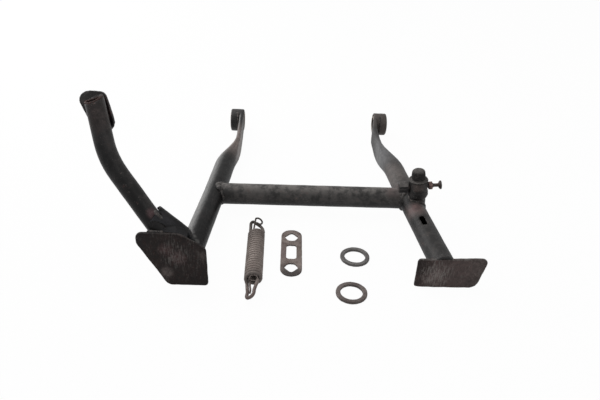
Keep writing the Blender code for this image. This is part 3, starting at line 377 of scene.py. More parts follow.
def dull_steel(name, tone, rust, metallic=0.3, patches=(), films=(), metal=None, mottle=1.0):
    """Plain steel gone brown, with darker blotches and a few rubbed places.

    Tone lightens it, rust and mottle are strengths, and a film has no blotchiness here.
    """
    tint = colours()
    made = Finish(name, 0.35)
    wide = made.clouds(0.015, 5.0, 0.62, shift=6.0)
    patchy = made.clouds(0.0034, 4.0, 0.65, shift=1.2)
    grit = made.clouds(0.0008, 3.0, 0.6, shift=8.3)
    steel = scaled(metal or tint.steel, tone)
    made.colour = made.mix(made.band(wide + 0.5 * patchy, 0.58, 0.92),
                           scaled(steel, 0.9 + 0.25 * mottle), scaled(steel, 0.9 - 0.3 * mottle))
    made.lay(made.band(wide + patchy, 1.02, 1.25) * rust, scaled(tint.red_rust, 0.8))
    made.lay(made.band(patchy + 0.3 * grit, 0.76, 0.92) * (0.35 * mottle), scaled(tint.bare, 1.2))
    made.lay(made.band(patchy, 0.42, 0.28) * (0.5 * mottle), scaled(tint.dark_rust, 1.5))
    for direction, start, full, film, strength in films:
        made.lay(made.facing(direction, start, full) * strength, film)
    made.lay_patches(patches, patchy + grit)
    return made.done(0.45 + 0.28 * patchy, patchy * 0.6 + grit * 0.3, 0.00022, metallic)


def stop_rubber(name, tone):
    """Black rubber, greyed by dust on top, with tone as the amount of dust."""
    tint = colours()
    made = Finish(name, 0.2)
    patchy = made.clouds(0.004, 5.0, 0.65)
    grit = made.clouds(0.0011, 3.0, 0.6, shift=4.0)
    dusty = made.facing(UPWARD, 0.25, 0.95) * (0.5 + 0.8 * made.band(patchy + grit, 0.8, 1.2))
    made.colour = made.mix(dusty * 0.55 * tone, tint.rubber, scaled(tint.dust, 0.65))
    made.lay(made.band(patchy + 0.4 * grit, 0.7, 0.95) * (0.45 * tone), scaled(tint.dust, 0.7))
    return made.done(0.66 + 0.2 * patchy, patchy * 0.6 + grit * 0.4, 0.0004)


def flaking_rust(name, share, pale):
    """Red rust with dark pits and paler flakes, under dust. Share lightens it, and pale is the dust."""
    tint = colours()
    made = Finish(name, 0.2)
    patchy = made.clouds(0.003, 5.0, 0.7, shift=2.0)
    grit = made.clouds(0.0007, 3.0, 0.65, shift=5.5)
    pits = made.band(patchy, 0.35, 0.62)
    made.colour = made.mix(pits, scaled(tint.dark_rust, 2.5), scaled(tint.red_rust, share))
    made.lay(made.band(grit + 0.4 * patchy, 0.8, 0.98) * 0.5, scaled(tint.red_rust, 2.0 * share))
    made.lay(made.band(patchy + 0.5 * grit, 0.5, 0.9) * pale, scaled(tint.dust, 1.1))
    return made.done(0.75 + 0.15 * patchy, patchy * 0.6 + grit * 0.5, 0.0005)


def weld_scale(name, share, rust, spatter=0.6):
    """Painted weld metal under dust of this share, with rust in its hollows and specks of spatter."""
    tint = colours()
    made = Finish(name, 0.25)
    patchy = made.clouds(0.0042, 5.0, 0.65, shift=3.3)
    grit = made.clouds(0.0011, 3.0, 0.6, shift=6.6)
    dusty = made.facing((-0.3, 0, 1), -0.1, 0.9)
    made.colour = made.mix(made.band(patchy, 0.36, 0.6) * (0.3 + 0.7 * dusty),
                           scaled(tint.paint, 1.6), scaled(tint.dust, share))
    made.lay(made.band(patchy + grit, 0.98, 1.2) * rust, scaled(tint.red_rust, 0.8))
    made.lay(made.band(grit + 0.3 * patchy, 0.74, 0.84) * spatter, scaled(tint.bare, 1.3))
    return made.done(0.5 + 0.3 * patchy, patchy * 0.6 + grit * 0.4, 0.0004)


def bush_metal(name):
    """The bush: dull in its bore and rubbed bright on its end faces."""
    tint = colours()
    made = Finish(name, 0.5)
    patchy = made.clouds(0.003, 4.0, 0.6)
    ends = made.band(made.facing((1, 0, 0), 0.5, 0.9) + made.facing((-1, 0, 0), 0.5, 0.9), 0.2, 0.8)
    made.colour = made.mix(ends, scaled(tint.steel, 0.35), tint.bronze)
    made.lay(made.band(patchy, 0.45, 0.7) * 0.5, scaled(tint.dark_rust, 1.5))
    return made.done(0.35 + 0.25 * patchy, patchy, 0.0002, 0.5)


# Modelling steps

def only(*pieces):
    """Selects just these pieces and makes the first one active."""
    bpy.ops.object.select_all(action="DESELECT")
    for piece in pieces:
        piece.select_set(True)
    bpy.context.view_layer.objects.active = pieces[0]


def apply_step(piece, kind, **settings):
    """Adds a modifier with these settings and applies it."""
    only(piece)
    step = piece.modifiers.new(kind.title(), kind)
    for key, setting in settings.items():
        setattr(step, key, setting)
    bpy.ops.object.modifier_apply(modifier=step.name)


def melt(piece, grain, softening):
    """Melts a piece into one skin of small even faces, and softens it."""
    apply_step(piece, "REMESH", mode="VOXEL", voxel_size=grain, use_smooth_shade=True)
    apply_step(piece, "SMOOTH", factor=0.5, iterations=softening)


def roughen(piece, lump_size, height):
    """Raises and sinks a piece's surface by cloudy lumps, and shades it smooth."""
    texture = bpy.data.textures.new(piece.name, "CLOUDS")
    texture.noise_scale = lump_size
    texture.noise_depth = 2
    apply_step(piece, "DISPLACE", texture=texture, strength=height, mid_level=0.5, texture_coords="LOCAL")
    bpy.ops.object.shade_smooth()


def settle(piece):
    """Puts a piece's place into its mesh and turns its faces outwards."""
    only(piece)
    bpy.ops.object.transform_apply(location=True, rotation=True, scale=True)
    bpy.ops.object.mode_set(mode="EDIT")
    bpy.ops.mesh.select_all(action="SELECT")
    bpy.ops.mesh.remove_doubles(threshold=1e-6)
    bpy.ops.mesh.normals_make_consistent(inside=False)
    bpy.ops.object.mode_set(mode="OBJECT")


def dress(piece, finish):
    """Gives a piece its material, and lets it ride on the stand."""
    piece.data.materials.clear()
    piece.data.materials.append(finish)
    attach(piece, "root")


def worn_copy(node, name, grain, wear, lump_size, softening=3):
    """A piece that stands for a node, with its edges rounded and its surface uneven."""
    piece = bpy.data.objects.new(name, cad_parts[node].data.copy())
    bpy.context.scene.collection.objects.link(piece)
    settle(piece)
    melt(piece, grain, softening)
    roughen(piece, lump_size, wear)
    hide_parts(node)
    return piece


def spaced(points, step):
    """Points at even steps along a line."""
    placed = [points[0]]
    left = step
    for start, end in zip(points, points[1:]):
        run = (end - start).length
        done = 0.0
        while run - done >= left:
            done += left
            placed.append(start.lerp(end, done / run))
            left = step
        left -= run - done
    return placed


def weld_bead(name, line, radius, seed, grain=0.0006, roughness=0.35):
    """Overlapping weld drops along a line, melted into one bead."""
    picker = random.Random(seed)
    places = spaced(line, 0.85 * radius)
    bpy.ops.mesh.primitive_ico_sphere_add(subdivisions=2, radius=radius, location=places[0])
    first = bpy.context.object
    first.name = name
    drops = [first]
    for place in places[1:]:
        drop = bpy.data.objects.new(name + "_drop", first.data.copy())
        bpy.context.scene.collection.objects.link(drop)
        drop.location = place + Vector([picker.uniform(-0.12, 0.12) * radius for _ in range(3)])
        drop.scale = [picker.uniform(0.86, 1.12)] * 3
        drops.append(drop)
    only(*drops)
    bpy.ops.object.join()
    bpy.ops.object.transform_apply(location=True, rotation=True, scale=True)
    melt(first, grain, 3)
    roughen(first, 0.002, roughness * radius)
    return first


def sheet(name, rows, thickness, grain):
    """A thin skin through rows of points, thickened and softened."""
    bpy.ops.mesh.primitive_grid_add(x_subdivisions=len(rows[0]) - 1, y_subdivisions=len(rows) - 1)
    piece = bpy.context.object
    piece.name = name
    for corner, place in zip(piece.data.vertices, [place for row in rows for place in row]):
        corner.co = place
    apply_step(piece, "SOLIDIFY", thickness=thickness, offset=0.0)
    melt(piece, grain, 4)
    bpy.ops.object.shade_smooth()
    return piece


def ring(middle, axis, radius, start=0.0, end=360.0, steps=48):
    """Points of an arc about an axis, its angle counted from the upward direction."""
    axis = Vector(axis).normalized()
    up = (Vector((0, 0, 1)) - axis * axis.z).normalized()
    points = []
    for k in range(steps + 1):
        angle = math.radians(start + (end - start) * k / steps)
        points.append(middle + Matrix.Rotation(angle, 3, axis) @ up * radius)
    return points


def leg_axis(side, y):
    """The centre line of a leg's straight runs, in the stand's frame."""
    splay = FOOT_SPLAY if y < 0 else LEG_SPLAY
    drop = FOOT_RISE * y if y < 0 else 0.0
    return Vector((side * (LEG_HALF_SPACING - splay * y), y, CROSS_TUBE_HEIGHT - drop))


def cross_joint(side, sunk):
    """The corner all round between the cross tube and a leg, sunk into both of them."""
    points = []
    steps = 60
    for k in range(steps + 1):
        angle = math.radians(360 * k / steps)
        y = (TUBE_RADIUS + WELD_OFF_TUBE - sunk) * math.sin(angle)
        rise = (TUBE_RADIUS + WELD_OFF_TUBE - sunk) * math.cos(angle)
        reach = math.sqrt(max(TUBE_RADIUS ** 2 - rise ** 2, 0.0))
        x = leg_axis(side, y).x - side * (reach + WELD_OFF_LEG - sunk)
        points.append(at_stand(x, y, CROSS_TUBE_HEIGHT + rise))
    return points


# Springs

def smooth_route(points, steps):
    """Catmull-Rom curve through the points."""
    route = []
    for i in range(len(points) - 1):
        a = points[max(i - 1, 0)]
        b, c = points[i], points[i + 1]
        d = points[min(i + 2, len(points) - 1)]
        for k in range(steps):
            t = k / steps
            route.append(0.5 * (2 * b + (c - a) * t + (2 * a - 5 * b + 4 * c - d) * t * t
                                + (3 * b - a - 3 * c + d) * t * t * t))
    route.append(points[-1])
    return route


def coil(radius, pitch, turns, start, steps=32):
    """Points of a coil along +Y that starts and ends on its -X side."""
    points = []
    for k in range(turns * steps + 1):
        angle = math.pi + 2 * math.pi * k / steps
        y = start + pitch * k / steps
        points.append(Vector((radius * math.cos(angle), y, -radius * math.sin(angle))))
    return points


def leaning(points):
    """Points of a near hook, turned about the coil's axis and leaning to the left."""
    spin = Matrix.Rotation(math.radians(HOOK_TURN), 3, "Y")
    return [spin @ p + Vector((HOOK_LEAN * p.y, 0, 0)) for p in points]


def flat(x, y):
    """A place of a hook before it is turned."""
    return Vector((x, y, 0))


def drawn_hook(radius, reach, half_width, wire):
    """A drawn-out loop beyond a coil's end at Y = 0."""
    tip = reach - 0.5 * wire - half_width
    middle = 0.5 * (radius + half_width)
    points = [flat(-0.93 * radius, 0.9 * wire), flat(-middle, 0.4 * tip), flat(-half_width, 0.75 * tip)]
    for k in range(5):
        angle = math.pi * (1 - k / 4)
        points.append(flat(half_width * math.cos(angle), tip + half_width * math.sin(angle)))
    return points + [flat(half_width, 0.75 * tip), flat(middle, 0.4 * tip), flat(0.8 * radius, 1.4 * wire)]


def slanted_hook(radius, reach, tip_offset, wire):
    """A hook whose straight side runs out on the left, and whose other side slants back to the right."""
    tip = flat(tip_offset, reach - 0.5 * wire)
    foot = flat(radius, 0.8 * wire)
    straight = [flat(-0.9 * radius, y) for y in (0.9 * wire, 0.5 * tip.y, 0.86 * tip.y)]
    slanted = [tip.lerp(foot, share) + flat(bulge * wire, bulge * wire)
               for share, bulge in ((0.25, 0.3), (0.5, 0.55), (0.75, 0.5), (1.0, 0.0))]
    return straight + [tip] + slanted


def strand_beside(coil_radius, side_radius, half_width, beside):
    """A straight strand that runs out beside the left strand of an outer hook."""
    start = flat(-0.93 * coil_radius, 0.3 * beside)
    middle = flat(beside - 0.5 * (side_radius + half_width), 0.45 * STRAND_REACH)
    end_x = beside - half_width
    return [start, middle, flat(end_x, 0.8 * STRAND_REACH), flat(end_x, STRAND_REACH)]


def end_loop(coil_radius, wire):
    """A strand that rises from the left of the inner coil into an open ring above the outer hook."""
    lean = math.radians(52)
    tilt = math.radians(36)
    half_length = 0.0048
    half_width = 0.003
    centre = Vector((0.0022, 0.0195, 0.007))
    slope = Vector((0, math.cos(lean), math.sin(lean)))
    across = Vector((math.cos(tilt), 0, 0)) - slope * math.sin(tilt)
    upward = Vector((math.sin(tilt), 0, 0)) + slope * math.cos(tilt)
    start = flat(-0.93 * coil_radius, 0.9 * wire)
    entry = centre - across * half_length
    points = [start, start.lerp(entry, 0.35) + Vector((0, 0, -0.3 * wire)), start.lerp(entry, 0.75)]
    for k in range(11):
        angle = math.radians(28 * k)
        points.append(centre + upward * (half_width * math.sin(angle))
                      - across * (half_length * math.cos(angle)))
    return points


def spring(name, wire, body, near_hook, far_hook):
    """One wire swept along near hook, coil and far hook, as a closed mesh."""
    start = body[0].y
    end = body[-1].y
    steps = 8
    near = smooth_route([Vector((p.x, start - p.y, p.z)) for p in near_hook][::-1] + body[:2], steps)
    far = smooth_route(body[-2:] + [Vector((p.x, end + p.y, p.z)) for p in far_hook], steps)
    route = near[:-steps] + body[1:-1] + far[steps:]
    bpy.ops.curve.primitive_nurbs_path_add(location=at_stand(*SPRING_PLACE))
    piece = bpy.context.object
    piece.name = name
    curve = piece.data
    curve.splines.clear()
    line = curve.splines.new("POLY")
    line.points.add(len(route) - 1)
    for slot, point in zip(line.points, route):
        slot.co = (*point, 1.0)
    curve.bevel_depth = 0.5 * wire
    curve.bevel_resolution = 3
    curve.use_fill_caps = True
    only(piece)
    bpy.ops.object.convert(target="MESH")
    settle(piece)
    bpy.ops.object.shade_smooth()
    return piece


# Operators

class STAND_OT_paint_tubes(Operator):
    """Makes worn, painted copies of the legs, the cross tube and the lever, and rubs the bushes"""

    bl_idname = "stand.paint_tubes"
    bl_label = "Paint the tubes"

    def execute(self, context):
        tint = colours()
        pink = (0.12, 0.056, 0.058)
        pale = (0.2, 0.175, 0.165)
        painted_highlight_grey = (0.33, 0.325, 0.32)
        spot = (0.12, 0.115, 0.11)
        brown = (0.06, 0.05, 0.045)
        # Painted shade colour: the legs' flanks that face right are darkened with it.
        black = (0.006, 0.0055, 0.0055)
        finishes = {
            "left_leg": tube_paint("left_leg_painted_highlight_and_shade", 0.6, [
                # Painted highlight: the grey film lightens the flank that faces left.
                ((-1, -0.1, 0.35), 0.25, 0.97, painted_highlight_grey, 0.52, 0.25),
                # Painted shade: the black film darkens the flank that faces right.
                ((1, 0, 0.15), 0.2, 0.9, black, 0.25, 0.0)
            ], Y_AXIS, chips=0.35, gloss=0.3, shine=0.11, patches=[
                ((-0.104, 0.145, 0.03), 0.066, (0.215, 0.178, 0.165), 0.95, 0.4),
                ((-0.144, -0.115, 0.042), 0.0055, spot, 0.6, 0.3),
                ((-0.1402, -0.1225, 0.0424), 0.0045, spot, 0.6, 0.3),
                ((-0.1358, -0.13, 0.041), 0.005, spot, 0.7, 0.3)]),
            "right_leg": tube_paint("dusty_right_leg_painted_light_and_shade", 0.95, [
                ((-0.4, 0, 1), 0.4, 1.0, tint.dust, 0.12, 0.5),
                # Painted shade: the black film darkens the flank that faces right.
                ((1, 0, 0.15), 0.2, 0.9, black, 0.15, 0.0)
            ], Y_AXIS, shine=0.18, patches=[
                ((0.11, 0.012, 0.037), 0.017, pink, 0.75, 0.6),
                ((0.129, -0.047, 0.039), 0.021, (0.21, 0.16, 0.152), 0.7, 0.5),
                ((0.1285, -0.045, 0.039), 0.013, pink, 0.5, 0.7),
                ((0.104, 0.05, 0.038), 0.055, pale, 0.55, 0.45),
                # Partly dust, partly painted light: the grey patch lightens the upper run towards the pivot.
                ((0.1, 0.125, 0.03), 0.058, (0.19, 0.19, 0.195), 0.72, 0.3),
                ((0.088, 0.16, 0.024), 0.016, brown, 0.7, 0.2),
                ((0.115, 0.23, 0.033), 0.04, brown, 0.8, 0.3)]),
            "cross_tube": tube_paint("dusty_cross_tube_painted_light", 1.3, [
                ((0, 0.2, 1), 0.42, 0.96, scaled(tint.dust, 1.05), 0.6, 0.85),
                # Partly dust, partly painted light: this film lightens the faces that look forwards and up,
                # over the tube's middle.
                ((0, -0.8, 0.6), 0.5, 1.0, tint.dust, 0.24, 0.7)
            ], X_AXIS, patches=[((0.106, -0.002, 0.038), 0.014, pink, 0.35, 0.6)]),
            "foot_lever": tube_paint("satin_foot_lever_painted_shade", 0.95, [
                ((0.9, -0.2, 0.4), 0.5, 1.0, tint.dust, 0.1, 0.5),
                # Painted shade: the near-black film darkens the slanted end face round the tube's mouth.
                (LEVER_CUT, 0.75, 0.97, (0.01, 0.007, 0.006), 0.9, 0.1)
            ], Z_AXIS, chips=0.4, gloss=0.34, shine=0.16, patches=[
                ((-0.1785, -0.1462, 0.0885), 0.0095, (0.165, 0.1, 0.105), 0.8, 0.5),
                ((-0.24, -0.086, 0.17), 0.026, (0.075, 0.056, 0.052), 0.5, 0.7)]),
        }
        wear = sizes().tube_lumps
        for node, grain, slot in (("left_leg", 0.0011, "worn_black_paint"),
                                  ("right_leg", 0.0011, "dusty_black_paint"),
                                  ("cross_tube", 0.0012, "dusty_black_paint"),
                                  ("foot_lever", 0.001, "worn_black_paint")):
            piece = worn_copy(node, node + "_tube", grain, wear, lump_size=0.022, softening=6)
            dress(piece, finishes[node])
        bush = bush_metal("rubbed_bush")
        for word in ("left", "right"):
            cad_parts[word + "_pivot_bush"].material_slots[0].material = bush
        return {"FINISHED"}


class STAND_OT_pivot_eyes(Operator):
    """Rounds the edges of the pivot bosses and welds them to the flattened tubes"""

    bl_idname = "stand.pivot_eyes"
    bl_label = "Pivot eyes"

    def execute(self, context):
        dust = [((-0.2, 0, 1), 0.2, 1.0, colours().dust, 0.12, 0.5)]
        finish = {
            "left": tube_paint("left_boss_paint", 1.6, dust, X_AXIS, chips=0.4),
            "right": dull_steel("right_boss_steel", 0.36, 0.25, metallic=0.1)}
        for word, side in (("left", -1), ("right", 1)):
            boss = worn_copy(word + "_pivot_boss", word + "_eye_boss", 0.0008, wear=0.0006, lump_size=0.006)
            dress(boss, finish[word])
            low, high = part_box(word + "_pivot_boss")
            face = low.x + BOSS_BEYOND_FLAT if side > 0 else high.x - BOSS_BEYOND_FLAT
            middle = Vector((face + side * FLAT_TO_WELD, 0.5 * (low.y + high.y), 0.5 * (low.z + high.z)))
            line = ring(middle, (1, 0, 0), EYE_WELD_RADIUS, start=28, end=150)
            bead = weld_bead(word + "_eye_weld", line, sizes().fine_bead_radius, 20 + side)
            dress(bead, weld_scale(word + "_eye_weld_scale", 0.5, rust=0.4))
        return {"FINISHED"}


class STAND_OT_foot_plates(Operator):
    """Makes the two foot plates, beaten and rusted, with the welds that hold them"""

    bl_idname = "stand.foot_plates"
    bl_label = "Foot plates"

    def execute(self, context):
        tint = colours()
        size = sizes()
        pink = (0.07, 0.04, 0.04)
        pale = (0.15, 0.125, 0.118)
        rust = {
            "left": plate_rust(
                "left_foot_rust", (-0.158, -0.16, 0.037), reach=0.05, tone=1.0, scuffs=0.16,
                scraped=((-0.158, -0.16, 0.044), 0.022, 0.12), dusty=0.25, patches=[
                    ((-0.1666, -0.16, 0.0495), 0.011, pink, 0.9, 0.6),
                    ((-0.1531, -0.16, 0.039), 0.013, pink, 0.9, 0.6),
                    ((-0.1667, -0.16, 0.019), 0.01, pale, 0.8, 0.6),
                    ((-0.1262, -0.16, 0.0418), 0.008, pale, 0.6, 0.8)]),
            "right": plate_rust(
                "right_foot_rust", (0.16, -0.154, 0.02), reach=0.075, tone=2.4, scuffs=0.34,
                scraped=((0.137, -0.154, 0.018), 0.024, 0.24), dusty=1.0, patches=[
                    ((0.172, -0.154, 0.02), 0.065, pale, 0.65, 0.65),
                    ((0.15, -0.154, 0.022), 0.045, (0.085, 0.052, 0.05), 0.55, 0.8),
                    ((0.136, -0.154, 0.014), 0.016, (0.19, 0.15, 0.142), 0.8, 0.85),
                    ((0.117, -0.154, 0.03), 0.02, tint.dark_rust, 0.85, 0.2)]),
        }
        for word, lump_size in (("left", 0.016), ("right", 0.014)):
            plate = worn_copy(word + "_foot_plate", word + "_foot", 0.001, size.plate_lumps, lump_size)
            dress(plate, rust[word])
        dust = [(UPWARD, 0.4, 1.0, tint.dust, 0.1, 0.5)]
        # Each row's last number lightens the weld's paint: painted light against the shade in the groove
        # between the leg's end and the plate.
        for word, side, painted_shading in (("left", -1, 0.8), ("right", 1, 1.35)):
            plate_back = FOOT_PLATE_BACK[word]
            axis = leg_axis(side, plate_back)
            line = []
            for back in FOOT_WELD_ROWS:
                middle = at_stand(axis.x, plate_back + back, axis.z)
                line += ring(middle, (0, 1, 0), TUBE_RADIUS - FOOT_WELD_SUNK)
            bead = weld_bead(word + "_foot_weld", line, 1.2 * size.fine_bead_radius, 30 + side)
            paint = tube_paint(word + "_foot_weld_paint", painted_shading, dust, Y_AXIS)
            dress(bead, paint)
        return {"FINISHED"}


class STAND_OT_cross_welds(Operator):
    """Lays the thick weld beads between the cross tube and the legs"""

    bl_idname = "stand.cross_welds"
    bl_label = "Cross tube welds"

    def execute(self, context):
        for word, side, share, width, sunk in (("left", -1, 0.62, 1.8, 0.0026),
                                               ("right", 1, 0.45, 1.5, 0.0016)):
            radius = width * sizes().bead_radius
            bead = weld_bead(word + "_cross_weld", cross_joint(side, sunk), radius, 40 + side,
                             grain=0.0007, roughness=0.07)
            scale = weld_scale(word + "_cross_weld_scale", share, rust=0.1, spatter=0.25)
            dress(bead, scale)
        return {"FINISHED"}


class STAND_OT_lever_parts(Operator):
    """Makes the tread, the gusset and the welds at the lever's root"""

    bl_idname = "stand.lever_parts"
    bl_label = "Lever parts"

    def execute(self, context):
        tint = colours()
        # Painted shade colour for the gusset's fold.
        black = (0.002, 0.002, 0.002)
        tread = worn_copy("lever_tread", "tread_pad", 0.0008, wear=0.0008, lump_size=0.01)
        dust = [(UPWARD, 0.2, 1.0, tint.dust, 0.1, 0.5)]
        finish = tube_paint("worn_tread_paint", 0.8, dust, Z_AXIS, chips=0.6, patches=[
            ((-0.248, -0.08, 0.18), 0.03, scaled(tint.red_rust, 0.3), 0.5, 1.0)])
        dress(tread, finish)
        lip = weld_bead("mouth_lip", self.mouth(), LEVER_LIP_RADIUS, 50, grain=0.0004)
        dress(lip, flaking_rust("mouth_lip_rust", 0.35, pale=0.12))
        gusset = worn_copy("lever_gusset", "gusset_fold", 0.0007, wear=0.0005, lump_size=0.008, softening=14)
        finish = tube_paint("gusset_painted_light_and_shade", 0.9, [
            # Painted light: the grey film lightens the faces towards the front.
            ((0, -1, 0.3), 0.4, 1.0, (0.046, 0.046, 0.05), 0.85, 0.2),
            # Painted shade: the black film darkens the faces towards the upper left.
            ((-0.72, 0, 0.69), 0.5, 1.0, black, 0.9, 0.0)
        ], X_AXIS, chips=0.3, shine=0.14, patches=[
            # Painted shade: two black patches where the fold's open end lies in shade.
            ((-0.1716, -0.1425, 0.0908), 0.0036, black, 1.0, 0.0),
            ((-0.1716, -0.1468, 0.0868), 0.0034, black, 1.0, 0.0)])
        dress(gusset, finish)
        crest = ((-0.1712, 0.07), (-0.164, 0.0703), (-0.1552, 0.0698), (-0.1479, 0.0668),
                 (-0.1425, 0.0636))
        rows = [[at_stand(x, y, z + rise) for x, z in crest]
                for y, rise in ((-0.1553, -0.0008), (-0.153, 0.0006), (-0.15, 0.002), (-0.147, 0.0028))]
        dress(sheet("gusset_skirt", rows, 0.0014, 0.0004), finish)
        pale = weld_scale("gusset_weld_scale", 1.1, rust=0.1)
        dark = weld_scale("lever_root_weld_scale", 0.55, rust=0.2)
        for name, radius, seed, scale, line in (
                ("gusset_lever_weld", 0.0019, 51, pale, (
                    (-0.1752, -0.15, 0.0925), (-0.1726, -0.15, 0.0884), (-0.1695, -0.15, 0.084))),
                ("gusset_leg_weld", 0.0027, 52, finish, (
                    (-0.1428, -0.1415, 0.0622), (-0.1418, -0.145, 0.0612), (-0.1405, -0.1475, 0.059),
                    (-0.138, -0.1478, 0.054), (-0.1358, -0.148, 0.047))),
                ("lever_root_weld", 0.0021, 53, dark, (
                    (-0.1835, -0.156, 0.0702), (-0.176, -0.1562, 0.0706), (-0.1685, -0.1562, 0.0703)))):
            bead = weld_bead(name, [at_stand(*place) for place in line], radius, seed, grain=0.0004)
            dress(bead, scale)
        return {"FINISHED"}

    def mouth(self):
        """The near side of the rim of the lever's slanted upper end."""
        axis = Vector(LEVER_TOP_AXIS).normalized()
        cut = Vector(LEVER_CUT)
        middle = at_stand(*LEVER_TOP)
        line = []
        for place in ring(middle, axis, 0.5 * LEVER_DIAMETER - LEVER_LIP_RADIUS):
            line.append(place - axis * ((place - middle).dot(cut) / axis.dot(cut)))
        return [place for place in line if place.y < middle.y + 0.001]


class STAND_OT_stop_parts(Operator):
    """Makes the stop: socket, cupped washer, rubber buffer, nuts and anchor screw"""

    bl_idname = "stand.stop_parts"
    bl_label = "Stop and anchor screw"

    def execute(self, context):
        tint = colours()
        dust = [((-0.3, -0.6, 0.6), 0.3, 1.0, tint.dust, 0.22, 0.6)]
        body = tube_paint("stop_body_paint", 1.5, dust, Z_AXIS, chips=0.8, gloss=0.48, patches=[
            ((0.133, -0.033, 0.064), 0.011, (0.115, 0.09, 0.082), 0.8, 0.6),
            ((0.1355, -0.033, 0.035), 0.0095, (0.19, 0.15, 0.14), 0.8, 0.4),
            ((0.1335, -0.0345, 0.05), 0.0095, (0.004, 0.0035, 0.0035), 0.85, 0.2)])
        skirt = stop_rubber("skirt_black", 1.9)
        rubber = stop_rubber("worn_rubber", 1.45)
        rust = flaking_rust("lock_nut_rust", 3.2, pale=0.9)
        dust = [(UPWARD, 0.6, 0.95, tint.dust, 0.7, 0.55)]
        nut_paint = tube_paint("long_nut_paint", 1.3, dust, X_AXIS, chips=0.6, patches=[
            ((0.1085, -0.022, 0.056), 0.006, scaled(tint.red_rust, 0.9), 1.0, 1.0)])
        steel = dull_steel("anchor_screw_steel", 0.28, rust=0.6)
        for node, name, grain, wear, lump_size, finish, slot in (
                ("stop_socket", "stop_body", 0.0006, 0.0006, 0.005, body, "rusted_foot_steel"),
                ("stop_cup_washer", "stop_skirt", 0.0004, 0.0005, 0.004, skirt, "rusted_foot_steel"),
                ("stop_buffer", "stop_rubber", 0.0005, 0.0005, 0.006, rubber, "stop_rubber_black"),
                ("anchor_lock_nut", "lock_nut", 0.00035, 0.0003, 0.002, rust, "red_rust"),
                ("anchor_long_nut", "long_nut", 0.0004, 0.0003, 0.003, nut_paint, "worn_boss_steel"),
                ("spring_anchor_screw", "anchor_screw", 0.00035, 0.0003, 0.002, steel, "worn_boss_steel")):
            dress(worn_copy(node, name, grain, wear, lump_size), finish)
        bead = weld_bead("stop_weld", self.foot(rise=0.0145, radius=0.0103), 0.0023, 61, 0.0005, 0.2)
        dress(bead, weld_scale("stop_weld_scale", 0.9, rust=0.4, spatter=0.3))
        return {"FINISHED"}

    def foot(self, rise, radius):
        """The corner between the socket and the leg, as a ring at this rise that is laid on the leg."""
        axis = Matrix.Rotation(math.radians(STOP_LEAN), 3, "Y") @ Vector(UPWARD)
        line = ring(at_stand(*STOP_PLACE) + axis * rise, axis, radius)
        for point in line:
            away = point.x - at_stand(leg_axis(1, point.y - STAND_MIDDLE.y).x, 0, 0).x
            crown = math.sqrt(max(TUBE_RADIUS ** 2 - away ** 2, 0.0))
            point.z = CROSS_TUBE_HEIGHT + WELD_OFF_LEG + crown
        return line


class STAND_OT_springs(Operator):
    """Winds the outer and inner return springs"""

    bl_idname = "stand.springs"
    bl_label = "Return springs"

    def execute(self, context):
        size = sizes()
        outer_radius = 0.5 * (size.outer_diameter - size.outer_wire)
        half_width = 0.5 * (NEAR_HOOK_WIDTH - size.outer_wire)
        body = coil(outer_radius, size.outer_pitch, size.outer_turns, 0.0)
        near = leaning(drawn_hook(outer_radius, NEAR_HOOK_REACH, half_width, size.outer_wire))
        far = slanted_hook(outer_radius, FAR_HOOK_REACH, FAR_HOOK_TIP, size.outer_wire)
        outer = spring("outer_coil", size.outer_wire, body, near, far)
        worn_ends = [((-0.0725, -0.188, 0.0106), 0.03, (0.07, 0.042, 0.038), 0.7, 0.4),
                     ((-0.0745, -0.045, 0.0106), 0.03, (0.022, 0.018, 0.015), 0.9, 0.2)]
        rings = [((-0.0707, -0.159, 0.0106), 0.015, (0.022, 0.019, 0.018), 0.9, 0.2),
                 ((-0.0725, -0.072, 0.0106), 0.034, (0.105, 0.088, 0.08), 0.6, 0.3)]
        steel = dull_steel("outer_coil_steel", 1.4, rust=0.1, patches=worn_ends + rings, mottle=0.45)
        dress(outer, steel)
        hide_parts("outer_spring")
        inner_radius = 0.5 * (size.inner_diameter - size.inner_wire)
        spare = size.outer_pitch * size.outer_turns - size.inner_pitch * size.inner_turns
        beside = 0.5 * (size.outer_wire + size.inner_wire) + STRAND_GAP
        body = coil(inner_radius, size.inner_pitch, size.inner_turns, 0.5 * spare, steps=24)
        near = leaning(strand_beside(inner_radius, outer_radius, half_width, beside))
        inner = spring("inner_coil", size.inner_wire, body, near, end_loop(inner_radius, size.inner_wire))
        steel = dull_steel("inner_coil_steel", 1.1, rust=0.1, patches=worn_ends, mottle=0.45)
        dress(inner, steel)
        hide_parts("inner_spring")
        return {"FINISHED"}


class STAND_OT_link_and_washers(Operator):
    """Makes the spring link and the two loose washers, with worn edges"""

    bl_idname = "stand.link_and_washers"
    bl_label = "Link and washers"

    def execute(self, context):
        wear = sizes().washer_wear
        # Painted shade colour for the faces towards the front.
        dark = (0.062, 0.054, 0.05)
        link_patches = [((-0.028, -0.136, 0.0022), 0.022, (0.04, 0.034, 0.032), 0.85, 0.2),
                        ((-0.037, -0.095, 0.0022), 0.022, (0.14, 0.1, 0.097), 0.6, 0.4),
                        ((-0.016, -0.093, 0.0022), 0.016, (0.15, 0.12, 0.1), 0.5, 0.5)]
        for node, name, thicker, metal, rust, painted_shading, patches in (
                ("spring_link", "link", 1.0, (0.215, 0.176, 0.16), 0.3, 0.8, link_patches),
                ("rear_pivot_washer", "rear_washer", 1.2, (0.152, 0.144, 0.14), 0.0, 0.5, []),
                ("front_pivot_washer", "front_washer", 1.2, (0.145, 0.12, 0.113), 0.2, 0.4, [])):
            piece = worn_copy(node, name, 0.0005, wear, lump_size=0.005)
            piece.scale.z = thicker
            settle(piece)
            # Painted shade: the faces towards the front are darkened, by the strength given in each row
            # above.
            painted_shade_sides = [((0, -1, 0.1), 0.35, 0.8, dark, painted_shading)]
            steel = dull_steel(name + "_steel", 1.0, rust, patches=patches, films=painted_shade_sides, metal=metal)
            dress(piece, steel)
        return {"FINISHED"}


